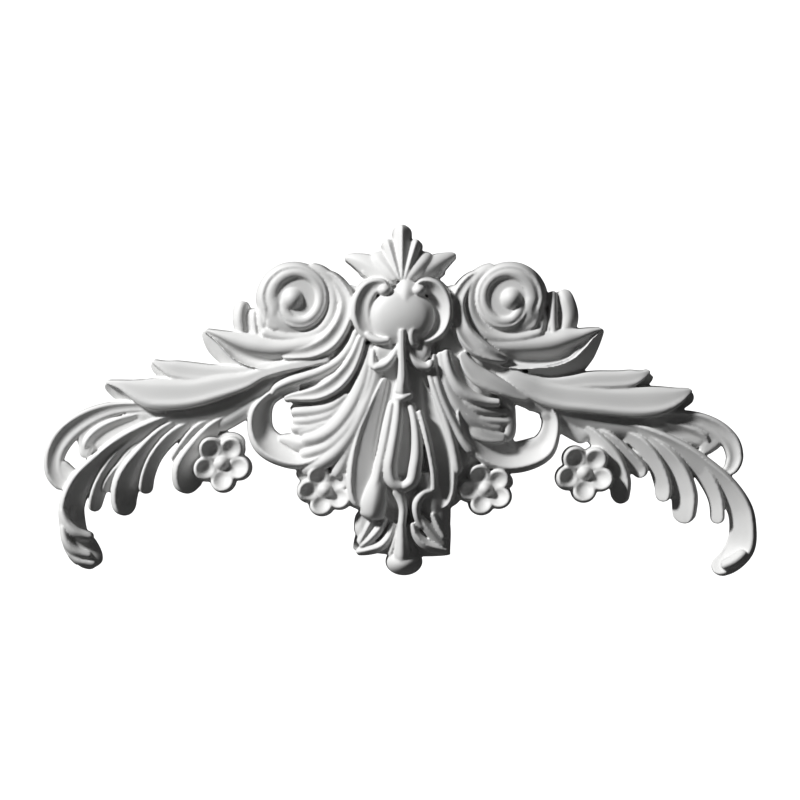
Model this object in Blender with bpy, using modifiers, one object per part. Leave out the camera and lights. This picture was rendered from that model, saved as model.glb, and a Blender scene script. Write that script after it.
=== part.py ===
"""Cast onlay applique with a crested cartouche, volutes, stepped leaves, curled acanthus and flowers.

The relief faces -Y and its flat back lies at y = 0. X runs to the right and Z up, and the origin is on
the back in the middle of the body. The whole ornament is one casting. Every leaf, rib, scroll and stem
is a lobe: a section carried along a curved path, with drafted sides that run down to the back.
"""
import bmesh
import bpy
import numpy as np

# Sizes in millimetres, turned into metres where the mesh is made
MM = 0.001
DRAFT = 0.07            # sideways run of a side wall for each millimetre that it is tall
BEHIND = 4.0            # how far the lobes reach behind the back before it is cut flat
STEP = 6.0              # spacing of the sections along a lobe
CAP_ROWS = 4            # sections that round off each end of a lobe
SPOKES = 20             # points round a petal, button or boss
GRAIN = 2.2             # cell of the mesh that fuses the lobes
TRIANGLES = 9000        # facets of the finished solid
RIGHT_DROOP = 12.0      # the right arm hangs this much lower than a mirror image
RIGHT_SHIFT = 5.0       # and its flowers stand this much further out
PETAL_LIFT = 0.45       # rise of a petal for each millimetre away from its flower's middle
WHITE = (0.86, 0.86, 0.85, 1.0)

LEFT, RIGHT, BOTH, MIDDLE = "left", "right", "both", "middle"

# Cross sections: how far the surface lies below the crest, in half widths, from the right-hand edge of
# the path to its left-hand edge
ROUND = (0.90, 0.42, 0.10, 0.0, 0.10, 0.42, 0.90)
RIDGE = (0.95, 0.60, 0.28, 0.0, 0.28, 0.60, 0.95)
FLAT = (0.40, 0.06, 0.0, 0.0, 0.0, 0.06, 0.40)
BLADE = (0.30, 0.0, 0.30, 0.56, 0.82, 1.06, 1.32)
LEAF = (0.42, 0.22, 0.16, 0.14, 0.10, 0.0, 0.16)
SHELL = (0.40, 0.10, 0.0, 0.14, 0.66, 0.70, 0.14)
FLUTE = (0.45, 0.08, 0.20, 0.30, 0.20, 0.0, 0.60)
LOW = (0.55, 0.26, 0.08, 0.0, 0.10, 0.30, 0.60)
BOWL = (0.30, 0.0, 0.45, 0.78, 0.95, 1.0, 1.1)
PANEL = (0.30, 0.0, 0.20, 0.26, 0.315, 0.37, 0.43, 0.56, 0.95)
BEVEL = (0.0, 0.10, 0.34, 0.66, 1.0, 1.36, 1.75)
FRAME = (0.25, 0.0, 0.26, 0.40, 0.44, 0.34, 0.55)
BAND = (0.62, 0.20, 0.04, 0.0, 0.05, 0.22, 0.14, 0.42, 1.05)

# Profiles from the middle of a disc to its rim, in radii below the top
CUP = (0.36, 0.35, 0.30, 0.20, 0.05, 0.0, 0.25)
BUTTON = (0.0, 0.06, 0.22, 0.50, 0.95)
PLATE = (0.0, 0.0, 0.0, 0.0, 0.1)

shells = bmesh.new()


def smooth(t):
    """Rise from 0 to 1 with level ends."""
    t = min(max(t, 0.0), 1.0)
    return t * t * (3 - 2 * t)


def mirrored(place):
    """Where a place on the left half comes on the right half, which droops a little."""
    x, z, *rest = place
    out = -x
    aside = RIGHT_SHIFT * smooth((-30 - z) / 20) * smooth((out - 50) / 15) * (1 - smooth((out - 200) / 20))
    drop = RIGHT_DROOP * smooth((65 - z) / 25) * smooth((out - 60) / 60)
    return (out + aside, z - drop, *rest)


def along(table, t):
    """Smooth curve through the rows of a table, by chord length, with t from 0 to 1."""
    gap = np.hypot(*np.diff(table[:, :2], axis=0).T)
    chord = np.concatenate([[0], np.cumsum(gap)])
    slope = np.empty_like(table)
    slope[1:-1] = (table[2:] - table[:-2]) / (chord[2:] - chord[:-2])[:, None]
    slope[0] = (table[1] - table[0]) / gap[0]
    slope[-1] = (table[-1] - table[-2]) / gap[-1]
    place = t * chord[-1]
    i = np.clip(np.searchsorted(chord, place, side="right") - 1, 0, len(gap) - 1)
    s = ((place - chord[i]) / gap[i])[:, None]
    g = gap[i][:, None]
    start = (1 + 2 * s) * (1 - s) ** 2 * table[i] + s * (1 - s) ** 2 * g * slope[i]
    finish = s * s * (3 - 2 * s) * table[i + 1] + s * s * (s - 1) * g * slope[i + 1]
    return start + finish, chord[-1]


def add_shell(rings):
    """Skin a stack of rings of points, each ring a closed loop, and cap both ends."""
    rows = [[shells.verts.new(p) for p in ring] for ring in rings]
    count = len(rows[0])
    faces = []
    for low, high in zip(rows[:-1], rows[1:]):
        for i in range(count):
            j = (i + 1) % count
            faces.append(shells.faces.new((low[i], low[j], high[j], high[i])))
    faces.append(shells.faces.new(rows[0][::-1]))
    faces.append(shells.faces.new(rows[-1]))
    bmesh.ops.recalc_face_normals(shells, faces=faces)


def sweep(stations, section, blunt):
    """One lobe: a section carried along the path through stations of (x, z, half width, height)."""
    table = np.array(stations, float)
    _, length = along(table, np.zeros(1))
    first = min(table[0, 2] * blunt / length, 0.3)
    last = min(table[-1, 2] * blunt / length, 0.3)
    rise = 1 - np.cos(np.linspace(0, np.pi / 2, CAP_ROWS))
    middle = np.linspace(first, 1 - last, int(length / STEP) + 3)
    t = np.concatenate([first * rise[:-1], middle, 1 - last * rise[-2::-1]])
    spine, _ = along(table, t)
    ahead, _ = along(table, np.minimum(t + 0.001, 1))
    behind, _ = along(table, np.maximum(t - 0.001, 0))
    heading = (ahead - behind)[:, :2]
    heading /= np.hypot(heading[:, 0], heading[:, 1])[:, None]
    side = np.stack([-heading[:, 1], heading[:, 0]], 1)
    half = np.maximum(spine[:, 2], 0.3)
    crest = spine[:, 3]
    for way, end in ((t * length, half[0]), ((1 - t) * length, half[-1])):
        q = np.clip(way / (end * blunt), 0, 1)
        round_off = np.sqrt(1 - (1 - q) ** 2)
        half = half * np.maximum(round_off, 0.02)
        crest = crest - end * blunt * 0.5 * (1 - round_off)
    u = np.linspace(-1, 1, len(section))
    top = np.maximum(crest[:, None] - half[:, None] * np.array(section)[None, :], 2)
    offset = half[:, None] * u[None, :]
    rings = []
    for k in range(len(t)):
        right_foot = offset[k, 0] - DRAFT * top[k, 0]
        left_foot = offset[k, -1] + DRAFT * top[k, -1]
        across = np.concatenate([[right_foot], offset[k], [left_foot]])
        depth = np.concatenate([[-BEHIND], top[k], [-BEHIND]])
        x = spine[k, 0] + side[k, 0] * across
        z = spine[k, 1] + side[k, 1] * across
        rings.append(np.stack([x, -depth, z], 1) * MM)
    add_shell(rings)


def lobe(name, stations, section=ROUND, where=BOTH, blunt=1.0):
    """A lobe on the left, on the right, on both halves or in the middle; its name is for the reader."""
    if where == RIGHT:
        sweep(stations, section[::-1], blunt)
    else:
        sweep(stations, section, blunt)
    if where == BOTH:
        sweep([mirrored(place) for place in stations], section[::-1], blunt)


def turn_disc(at, wide, tall, height, profile, lift):
    """One disc with an oval rim: a profile from the middle outwards, then a drafted side.

    Lift is the slope of its top, to the right and upwards.
    """
    size = (wide * tall) ** 0.5
    top = height - size * np.array(profile)
    angle = np.linspace(0, 2 * np.pi, SPOKES, endpoint=False)
    rings = []
    for r, level in zip(np.linspace(0.02, 1, len(profile)), top):
        x = wide * r * np.cos(angle)
        z = tall * r * np.sin(angle)
        rings.append(np.stack([at[0] + x, -(level + lift[0] * x + lift[1] * z), at[1] + z], 1) * MM)
    foot = 1 + DRAFT * top[-1] / size
    x = at[0] + wide * foot * np.cos(angle)
    z = at[1] + tall * foot * np.sin(angle)
    rings.append(np.stack([x, np.full(SPOKES, BEHIND), z], 1) * MM)
    add_shell(rings)


def disc(name, at, wide, tall, height, profile=BUTTON, where=BOTH, lift=(0, 0)):
    """A petal, button or boss, on one side, on both halves or in the middle; its name is for the reader."""
    turn_disc(at, wide, tall, height, profile, lift)
    if where == BOTH:
        turn_disc(mirrored(at), wide, tall, height, profile, lift)


for old in list(bpy.data.objects):
    bpy.data.objects.remove(old, do_unlink=True)

# Ground of the body: low masses that carry the ribs
lobe("body side", [(-50, 115, 12, 26), (-57, 70, 24, 34), (-57, 20, 36, 38), (-50, -30, 34, 36),
                   (-40, -80, 26, 34), (-32, -110, 16, 30)], FLAT)
lobe("body middle", [(0, 130, 14, 30), (0, 80, 30, 42), (0, 0, 30, 44), (0, -70, 34, 40),
                     (0, -112, 22, 32)], FLAT, MIDDLE)
lobe("body waist", [(-62, 40, 22, 32), (-97, 28, 16, 28), (-122, 16, 9, 24)], FLAT)
lobe("body haunch", [(-52, -20, 26, 34), (-82, -40, 22, 30), (-112, -52, 12, 18)], FLAT)

# Three stepped leaves on each side, each with a bevelled outer edge
lobe("upper leaf", [(-57, 78, 6, 44), (-77, 57, 10, 43), (-102, 49, 14, 41), (-127, 46.5, 15.5, 38),
                    (-147, 49, 16.5, 35.5), (-161, 53, 14.5, 33), (-172, 58, 10.5, 31),
                    (-184, 64, 5.5, 28), (-197, 69.5, 1.5, 24)], SHELL, LEFT)
lobe("upper leaf edge", [(-140, 29, 3, 26), (-156, 33, 6, 24), (-170, 39, 8, 22), (-181, 47, 8.5, 20),
                         (-189, 55, 8, 17), (-195, 63, 5.5, 14), (-198.5, 69.5, 3, 11)], BEVEL, LEFT)
lobe("upper leaf", [(72, 66, 6, 32), (86, 57, 12, 34), (104, 50, 17, 36), (128, 49, 18, 36),
                    (150, 51, 18, 35), (166, 56, 16, 33.5), (178, 61, 11, 31), (188, 66, 6, 29),
                    (200, 70.5, 1.5, 25)], SHELL, RIGHT)
lobe("upper leaf edge", [(126, 28, 4, 32), (150, 29, 7.5, 31), (170, 33, 10, 29), (182, 44, 9.5, 26),
                         (190, 56, 8, 23), (197, 66, 5, 20), (201.5, 70.5, 2, 17)], BEVEL, RIGHT)
lobe("middle leaf", [(-67, 50, 5, 40), (-97, 38, 6, 37), (-127, 31, 7, 33), (-162, 26, 7.5, 29.5),
                     (-189, 26, 8.5, 27), (-214, 28, 9.5, 25), (-229, 30.5, 8.5, 24),
                     (-240, 34.5, 4.5, 22), (-250, 39, 1.5, 19)], LEAF, LEFT)
lobe("middle leaf edge", [(-207, 21, 4, 19), (-222, 22, 5.5, 18), (-235, 25, 6, 16),
                          (-245, 31, 5.5, 14), (-250.5, 38, 3, 11)], BEVEL, LEFT)
lobe("middle leaf", [(102, 32, 3, 30), (114, 25, 5, 31.5), (128, 19.5, 6, 30), (146, 16, 6, 28.5),
                     (168, 17, 7, 28), (189, 19.5, 8.5, 27.5), (217, 20, 8.5, 27),
                     (232, 22, 7.5, 26.5), (241, 25, 4, 25), (248, 29, 1.5, 21)], LEAF, RIGHT)
lobe("middle leaf edge", [(188, 12, 3, 21), (213, 12.5, 4, 20), (230, 14.5, 5, 18), (241, 18, 6, 16),
                          (247, 22.5, 5, 14), (248.5, 26, 4, 12)], BEVEL, RIGHT, 0.5)
lobe("lower leaf", [(-72, 42, 4, 42), (-97, 36, 4, 40), (-118, 32, 4, 38), (-140, 26, 5, 35),
                    (-157, 19, 8, 33.5), (-180, 13.5, 11.5, 32), (-212, 6.5, 14, 30.5),
                    (-240, 5.5, 15.5, 29.5), (-254, 6.5, 14.5, 28.5), (-268, 10.5, 9.5, 26.5),
                    (-281, 15, 4.5, 24), (-296, 18, 1.5, 20)], LEAF, LEFT)
lobe("lower leaf edge", [(-237, -12.5, 4, 22), (-249, -11, 6.5, 21), (-261, -5.5, 8, 20),
                         (-272, 0.5, 8, 18), (-283, 6.5, 7.5, 16), (-292, 12, 5.5, 13),
                         (-298, 15.5, 3, 11)], BEVEL, LEFT)
lobe("lower leaf", [(95, 30, 4, 29.5), (106, 25, 6, 33), (120, 17, 8, 34), (138, 8, 11, 33),
                    (160, 3, 13, 32), (183, 1, 13.5, 31.5), (206, -1.5, 13.5, 31),
                    (233, -2.5, 15, 30.5), (253, -1.5, 14.5, 30), (266, 0.5, 12, 29),
                    (276, 3.5, 8.5, 27.5), (284, 7, 4.5, 25), (290, 9.5, 1.5, 22)], LEAF, RIGHT)
lobe("lower leaf edge", [(208, -12, 4, 25), (230, -16.5, 5, 24.5), (250, -16, 5.5, 24),
                         (265, -11, 6.5, 22), (277, -4, 7, 20), (286, 2, 7, 18),
                         (292, 6, 5, 15)], BEVEL, RIGHT)

# Volutes: a band that winds once round and dives under its eye
disc("volute floor", (-106, 100), 36, 36, 36.5, PLATE)
disc("corner under the volute", (-126, 78), 9, 8, 34.5, PLATE)
winding = [(-136, 69, 5, 30)]
for t in np.linspace(0, 1, 14):
    angle = np.radians(208 - 398 * t)
    reach = 27 - 14 * smooth((t - 0.68) / 0.32)
    winding.append((-106 + reach * np.cos(angle), 102 + reach * np.sin(angle),
                    7 + 6 * smooth(1 - t / 0.4) + 2.5 * smooth((t - 0.7) / 0.3),
                    38 + 3 * smooth(t / 0.25) - 3 * smooth((t - 0.68) / 0.32)))
lobe("volute", winding, BAND)
lobe("volute shell", [(-140, 68, 4, 34), (-122, 63, 5.5, 36), (-102, 62, 6, 37), (-83, 68.5, 6.5, 38),
                      (-71, 83, 7, 39), (-68, 101, 7, 39), (-72, 117, 7, 38), (-82, 127, 6.5, 37),
                      (-94, 132, 5, 35)], LOW)
disc("volute eye", (-109, 101), 13, 13, 45)

# Bud beside each volute
disc("bud back", (-148, 77), 13, 14, 22, PLATE)
lobe("bud outer petal", [(-159, 66, 6, 26), (-162, 81, 7, 27), (-160, 97, 7, 25),
                         (-160, 99, 6, 22)], ROUND, LEFT)
lobe("bud outer petal", [(161, 65, 8, 27), (167, 82, 9, 28), (164, 100, 8, 27),
                         (159, 110, 6, 23)], LOW, RIGHT)
lobe("bud fold", [(152, 66, 4, 30), (151, 82, 4.5, 31), (151, 98, 4, 30),
                  (151, 109, 3, 26)], ROUND, RIGHT)
lobe("bud thin petal", [(-145, 62, 3.5, 28), (-147.5, 78, 3, 28), (-148, 89, 3, 26)], ROUND)
lobe("bud inner petal", [(-136, 60, 4, 31), (-140, 78, 4, 31), (-140, 94, 3.5, 30)], ROUND)

# Ribs that fall from the cartouche and fan out sideways
lobe("rib round the volute", [(-82, 128, 3, 34), (-69, 121, 5.5, 38), (-60, 110, 7, 41),
                              (-55, 97, 8, 44), (-57, 83, 8.5, 46), (-63.5, 69, 9.5, 47),
                              (-74, 57, 10, 46), (-89, 49, 9, 44), (-104, 46, 6.5, 41),
                              (-120, 45, 5, 36)], FLUTE, LEFT)
lobe("rib round the volute", [(82, 128, 3, 34), (69, 121, 5.5, 38), (60, 110, 7, 41), (55, 97, 8, 44),
                              (56, 83, 8.5, 46), (61, 69, 9, 47), (70, 57, 10, 46.5), (82, 48, 9, 45),
                              (95, 42.5, 6, 40.5), (106, 40, 3, 34)], FLUTE, RIGHT)
lobe("second rib", [(-45, 70, 3, 46), (-51, 54, 4.5, 46), (-63, 39, 5, 44), (-80, 29, 5.5, 42),
                    (-97, 23, 5.5, 40), (-113, 18, 5, 38), (-125, 12, 4, 35),
                    (-130, 5, 2.5, 31)], ROUND, LEFT)
lobe("second rib", [(59, 48, 3, 44), (65, 36, 6.5, 45), (75, 25, 9, 44.5), (88, 17.5, 9, 43),
                    (102, 11, 7, 40), (115, 5, 4.5, 36), (127, 1, 2.5, 32)], LEAF, RIGHT)
lobe("third rib", [(-39, 64, 4, 50), (-46, 44, 6, 50), (-55, 28, 8, 49), (-68, 15, 9, 48),
                   (-83, 7, 8, 45), (-98, 4, 5.5, 40), (-110, 3, 3.5, 35),
                   (-118, 1, 2, 31)], FLUTE, LEFT)
lobe("third rib", [(43.5, 50, 3, 50), (45.5, 37, 4.5, 50), (50, 23, 5.5, 49.5), (58, 11, 6.5, 48.5),
                   (69, 3, 6, 46.5), (83, -1.5, 4.5, 43), (98, -3, 4, 40)], ROUND, RIGHT, 0.5)
lobe("upper short rib", [(-54, 6, 3, 44), (-69, -6, 6, 42.5), (-86, -11, 5.5, 39), (-100, -12, 5, 36),
                         (-111, -12, 4, 32)], LOW, LEFT)
lobe("upper short rib", [(62, -2, 2.5, 42), (74, -9, 4, 40.5), (90, -12, 3.5, 35.5),
                         (107, -12, 2.5, 29.5)], LOW, RIGHT, 0.5)
lobe("middle short rib", [(-56, -2, 3, 43), (-72, -15, 6, 41.5), (-89, -20, 5.5, 38),
                          (-100, -21, 5, 35), (-109, -21, 4, 31)], LOW, LEFT)
lobe("middle short rib", [(63, -11.5, 2.5, 39.5), (72, -18, 4.5, 39.5), (88, -21, 4.5, 35.5),
                          (108, -21.5, 3.5, 29.5)], LOW, RIGHT, 0.5)
lobe("lower short rib", [(-62, -12, 3, 42), (-77, -24, 5.5, 40), (-92, -30, 5.5, 37),
                         (-104, -31, 5, 33)], LOW, LEFT)
lobe("lower short rib", [(65, -21, 3, 37), (73, -30.5, 6.5, 38.5), (85, -36, 7, 36.5),
                         (103, -38, 4.5, 31)], LEAF, RIGHT, 0.5)
lobe("fourth rib", [(-31, 56, 4, 46), (-34, 38, 6, 47), (-39, 18, 7.5, 48), (-46, 1, 8.5, 48),
                    (-55, -14, 9, 47.5), (-67, -28, 9, 46), (-82, -37, 7.5, 43),
                    (-100, -41, 6, 37)], LOW, LEFT)
lobe("fourth rib", [(38, 48, 3, 46), (41, 28, 5, 46.5), (46.5, 9, 7, 46), (55, -7, 9.5, 45),
                    (69, -19, 10, 41.5), (85, -26, 9, 36), (100, -28, 7, 31)], LOW, RIGHT, 0.5)
lobe("fifth rib", [(-27, 52, 3, 47), (-30, 30, 5, 48), (-35, 9, 6.5, 48.5), (-44, -13, 8, 48),
                   (-57, -32, 9, 47), (-73, -46, 8, 43.5), (-89, -52, 6, 39),
                   (-102, -55, 5, 33)], LOW, LEFT)
lobe("sixth rib", [(-24, 48, 3, 47), (-26, 28, 4.5, 48.5), (-31, 8, 6, 49.5), (-38, -9, 7, 50),
                   (-45, -24, 8, 49), (-54, -39, 9, 48), (-65, -52, 9, 46), (-79, -62, 7, 42),
                   (-93, -68, 5, 36), (-101, -70, 3.5, 31)], LOW, LEFT)
lobe("sixth rib", [(31, 46, 3, 47), (33, 26, 4, 48.5), (38, 6, 4.5, 49.5), (45, -11, 5, 49.5),
                   (53, -27, 5, 48.5), (61, -41, 5, 47), (70, -52, 4.5, 44)], ROUND, RIGHT)
lobe("seventh rib", [(-22, 38, 3, 47), (-26, 19, 5, 48.5), (-32, 1, 6.5, 49), (-39, -17, 8, 48.5),
                     (-47, -35, 9, 47), (-54, -52, 9, 45), (-61, -67, 8, 42),
                     (-67, -77, 6, 38)], LOW, LEFT)
lobe("seventh rib", [(24, 36, 2.5, 47), (30.5, 15, 3, 49.5), (37, -4, 3.5, 50), (43.5, -21, 4, 50),
                     (49, -39, 4.5, 49), (53, -57, 5, 47.5), (55.5, -74, 5.5, 45)], ROUND, RIGHT)

# C-shaped scroll round the opening on each side of the body
lobe("scroll bed", [(-123, -38, 2.5, 22), (-114, -40, 5.5, 27), (-100, -43, 8.5, 33.5),
                    (-82, -37, 8, 39)], LOW, LEFT)
lobe("scroll foot", [(-72, -68, 8, 30), (-94, -73, 8, 26), (-106, -74, 6, 20)], FLAT)
lobe("scroll", [(-102, 14, 4, 35), (-118, 10, 5, 32), (-133, 1, 6, 30), (-141.5, -13, 10.5, 28),
                (-142, -29, 12, 28), (-135.5, -42, 13.5, 30), (-121, -51, 13.5, 33),
                (-100, -55, 12.5, 37), (-80, -46, 10, 41), (-64, -24, 8, 45),
                (-52, 2, 5, 47)], BOWL, LEFT)
lobe("scroll", [(112, 8, 4, 34), (128, 3, 5, 31), (142, -6, 6, 29), (149, -19, 8, 28),
                (148, -34, 9.5, 28), (140, -48, 13, 30), (121, -56, 14.5, 33), (101, -58, 13, 37),
                (80, -50, 10, 41), (66, -32, 8, 44), (58, -8, 5, 46)], BOWL, RIGHT)
lobe("scroll finger", [(-72, -22, 5, 42), (-90, -27, 5, 37), (-104, -28, 6, 33),
                       (-111, -28, 6, 30)], ROUND, LEFT)
lobe("scroll curl", [(-80, 2, 5, 30), (-93, 0, 4.5, 24), (-103, -4, 3.5, 19),
                     (-111, -11, 3, 15)], ROUND, LEFT)
lobe("wall of the opening", [(97, 4, 7, 30), (105, -5, 6.5, 29), (106, -18, 7, 29), (106, -30, 7, 29),
                             (102, -40, 8, 29)], LOW, RIGHT)
lobe("scroll crook", [(110, 8, 5, 29), (124, 1, 6, 27), (136, -8, 6, 26)], FLAT, RIGHT)

# Arms: stem, hook, long curled leaf and its fingers
lobe("stem", [(-84, 34, 6, 32), (-110, 27, 8, 29), (-134, 15, 9, 26), (-156, 1, 10, 22.5),
              (-184, -11, 11, 20), (-212, -16, 11, 19), (-240, -17, 11, 18),
              (-267, -14, 9, 17)], LOW, LEFT)
lobe("stem", [(106, 6, 5, 32), (138, -4, 8, 27), (164, -13, 9, 24), (190, -21, 10, 21),
              (216, -26, 10, 19.5), (243, -28, 10, 18.5), (268, -26, 9, 17)], LOW, RIGHT)
lobe("stem root", [(-140, 2, 7, 25), (-158, -9, 9, 21), (-174, -19, 9, 18), (-188, -26, 9, 18)], LOW)
lobe("web behind the fingers", [(-237, -17, 9, 15), (-267, -25, 9, 14), (-294, -36, 9, 13),
                                (-312, -44, 8, 12)], FLAT, LEFT)
lobe("web behind the fingers", [(238, -25, 9, 15), (263, -30, 9, 14), (288, -36, 9, 13),
                                (306, -41, 8, 12)], FLAT, RIGHT)
lobe("web behind the hook", [(-284, -14, 7, 13), (-304, -22, 9, 13), (-317, -33, 9, 12),
                             (-317, -47, 7, 12), (-319, -58, 5, 12)], FLAT, LEFT)
lobe("web behind the hook", [(284, -22, 7, 13), (300, -29, 9, 13), (313, -39, 9, 12),
                             (307, -46, 8, 12), (300, -52, 6, 12)], FLAT, RIGHT)
lobe("hook", [(-237, -8, 5, 20), (-267, -7, 5, 18.5), (-294, -10, 7, 18), (-320, -21, 9.5, 17.5),
              (-340, -38, 10.5, 17), (-349, -57, 9.5, 16), (-348, -74, 9, 15),
              (-338, -89, 6, 12)], FRAME, LEFT)
lobe("hook heel", [(-342, -62, 4, 12), (-335, -73, 7, 12), (-328, -80, 6, 12)], FLAT, LEFT)
lobe("inner hook leaf", [(-252, -15, 5, 16), (-280, -23, 7, 18), (-298, -32, 9, 18),
                         (-309, -42, 9.5, 17), (-316, -53, 7, 13)], BLADE, LEFT)
lobe("long curled leaf", [(-217, -14, 5, 16), (-250, -27, 7, 23), (-280, -43, 8, 26),
                          (-304, -63, 9.5, 26), (-322, -83, 11.5, 25), (-331, -105, 12, 24),
                          (-330.5, -124, 12.5, 22), (-327, -138, 12, 20),
                          (-322, -148, 8, 16)], BLADE, LEFT)
lobe("end of the curl", [(-328, -135, 11, 17), (-322, -148, 16, 13), (-314, -159, 14, 12),
                         (-311, -169, 9, 11)], LOW, LEFT, 0.6)
lobe("upper fold of the curl", [(-340.5, -108, 3, 24), (-336, -122, 5, 25), (-326, -133, 5.5, 24),
                                (-310, -138.5, 4, 17)], ROUND, LEFT)
lobe("lower fold of the curl", [(-339.5, -125, 3, 23), (-336, -141, 4.5, 24), (-327, -151.5, 5, 22),
                                (-311, -157, 4, 16)], ROUND, LEFT)
lobe("underside of the curl", [(-334, -152, 3, 17), (-323, -160.5, 4.5, 18),
                               (-307, -165, 4.5, 15)], ROUND, LEFT)
lobe("curl side", [(-335, -100, 7, 18), (-335, -118, 7, 17), (-334.5, -134, 7, 16),
                   (-332, -147, 7, 15), (-325, -156.5, 7, 14), (-315, -162.5, 7, 13),
                   (-307, -162, 7, 12)], FLAT, LEFT)
lobe("first finger", [(-244, -26, 4, 14), (-262, -36, 5, 20), (-280, -52, 6, 21), (-294, -70, 6.5, 20),
                      (-303, -88, 7, 18), (-308, -105, 6.5, 15), (-308, -112, 5, 12)], BLADE, LEFT)
lobe("short finger", [(-252, -38, 4, 14), (-267, -50, 5, 18), (-281, -67, 5, 18), (-293, -82, 5, 16),
                      (-298, -92, 4, 14)], BLADE, LEFT)
lobe("second finger", [(-218, -20, 5, 14), (-240, -34, 7, 21), (-259, -55, 10, 23),
                       (-274, -78, 13, 21), (-279, -98, 13, 18), (-277, -116, 10, 14)], BLADE, LEFT)
lobe("third finger", [(-206, -22, 5, 14), (-229, -36, 6, 21), (-246, -55, 6, 21),
                      (-254.5, -74, 6.5, 18), (-258, -94, 7, 15)], BLADE, LEFT)
lobe("fourth finger", [(-180, -18, 4, 14), (-202, -29, 6, 20), (-217, -46, 6.5, 20),
                       (-229, -62, 5, 17)], BLADE, LEFT)
lobe("fourth finger", [(184, -28, 4, 14), (206, -38, 6, 21), (224, -54, 7, 20), (238, -70, 8, 17),
                       (240, -78, 6, 15)], BLADE, RIGHT)
lobe("fifth finger", [(-168, -14, 4, 15), (-190, -30, 7, 22), (-206, -51, 11, 23), (-215, -70, 15, 21),
                      (-215, -85, 14, 17), (-214, -94, 10, 14)], BLADE, LEFT)
lobe("fifth finger", [(170, -20, 4, 15), (193, -38, 7, 22), (209, -59, 11, 23), (218, -80, 11, 21),
                      (219, -96, 9, 17), (218, -104, 7, 14)], BLADE, RIGHT)

# Flower of five cupped petals under each arm
disc("leaf behind the flower", (-173, -43), 15, 10.5, 14, PLATE, LEFT)
for x, z, start, side in ((-180, -63, 56, LEFT), (183, -73, 124, RIGHT)):
    disc("flower base", (x, z), 20, 20, 19, PLATE, side)
    for i in range(5):
        turn = np.radians(start + 72 * i)
        out = np.array([np.cos(turn), np.sin(turn)])
        disc("flower petal", (x, z) + 17 * out, 12, 12, 27, CUP, side, PETAL_LIFT * out)
    disc("flower button", (x, z), 8, 8, 29, BUTTON, side)

# Smaller flower on each side of the body
for x, z, side in ((-76.5, -90, LEFT), (83.5, -89, RIGHT)):
    disc("small flower base", (x, z), 21, 20, 28, PLATE, side)
    for i in range(5):
        turn = np.radians(40 + 72 * i)
        out = np.array([np.cos(turn), np.sin(turn)])
        petal = (x + 16 * out[0], z + 14.5 * out[1])
        disc("small flower petal", petal, 11.5, 11, 35, CUP, side, PETAL_LIFT * out)
    disc("small flower button", (x, z), 8, 8, 38, BUTTON, side)

# End of the right arm, which opens wider than the left
lobe("hook", [(238, -20, 5, 20), (265, -16, 5, 18.5), (292, -19, 7, 18), (314, -28, 8.5, 17.5),
              (329, -41, 8.5, 17), (334, -56, 8, 16), (331, -67, 7, 15),
              (324, -74, 4, 12)], FRAME, RIGHT)
lobe("inner hook leaf", [(250, -24, 5, 16), (276, -30, 8, 18), (294, -38, 10, 17),
                         (307, -45, 8, 15)], BLADE, RIGHT)
lobe("long curled leaf", [(213, -24, 5, 16), (246, -35, 8, 24), (278, -50, 9, 26), (303, -68, 10, 26),
                          (325, -88, 11, 25), (339, -110, 12, 24), (342, -132, 13, 22),
                          (339, -148, 14, 20), (328, -162, 12, 16), (312, -171, 8, 13)], BLADE, RIGHT)
lobe("upper fold of the curl", [(344, -152, 6, 25), (333, -161, 6, 25),
                                (320, -167, 5, 21)], ROUND, RIGHT)
lobe("first finger", [(262, -40, 4, 15), (287, -57, 7, 21), (305, -78, 8, 21), (315, -100, 7, 18),
                      (317, -124, 6.5, 15)], BLADE, RIGHT)
lobe("second finger", [(230, -30, 5, 15), (255, -47, 8, 22), (273, -69, 12, 22), (283, -94, 13, 20),
                       (283.5, -114, 11.5, 16), (284, -124, 9, 13)], BLADE, RIGHT)
lobe("third finger", [(214, -30, 4, 14), (238, -44, 7, 21), (254, -64, 7.5, 20), (262, -86, 8, 17),
                      (262, -102, 7, 14)], BLADE, RIGHT)

# Cartouche: shield and tongue inside a split frame
disc("shield", (-1, 83), 31, 28, 60, (0.0, 0.02, 0.07, 0.17, 0.40))
lobe("tongue", [(1, 86, 12, 58.5), (3, 100, 11, 57.5), (4.5, 111, 10, 54.5),
                (4.5, 119, 8, 49)], LOW, MIDDLE, 0.5)
lobe("frame", [(-14, 111, 4, 53), (-22, 114, 6.5, 54), (-32, 110, 9, 54), (-39, 98, 10, 54),
               (-40, 84, 10, 53), (-36, 72, 9, 52), (-27, 64, 7, 51), (-18, 61, 5, 50)], FRAME, LEFT)
lobe("frame", [(14, 111, 4, 53), (22, 114, 6.5, 54), (32, 110, 9, 54), (39, 98, 10, 54),
               (40, 84, 10, 53), (36, 72, 9, 52), (27, 64, 7, 51), (18, 61, 5, 50)], BOWL, RIGHT)
disc("upper ear of the frame", (-17, 109), 6.5, 5.5, 58)
lobe("lower curl of the frame", [(-36, 67, 2.5, 53), (-30, 61.5, 3.5, 56), (-21, 58.5, 3.5, 57.5),
                                 (-12, 59, 3, 56)], ROUND, LEFT)
lobe("lower curl of the frame", [(17, 72, 3.5, 56), (10.5, 70, 4.5, 58.5), (9, 63, 4.8, 58.5),
                                 (11, 56.5, 4.5, 57), (17, 55, 3, 54)], ROUND, RIGHT)

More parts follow.
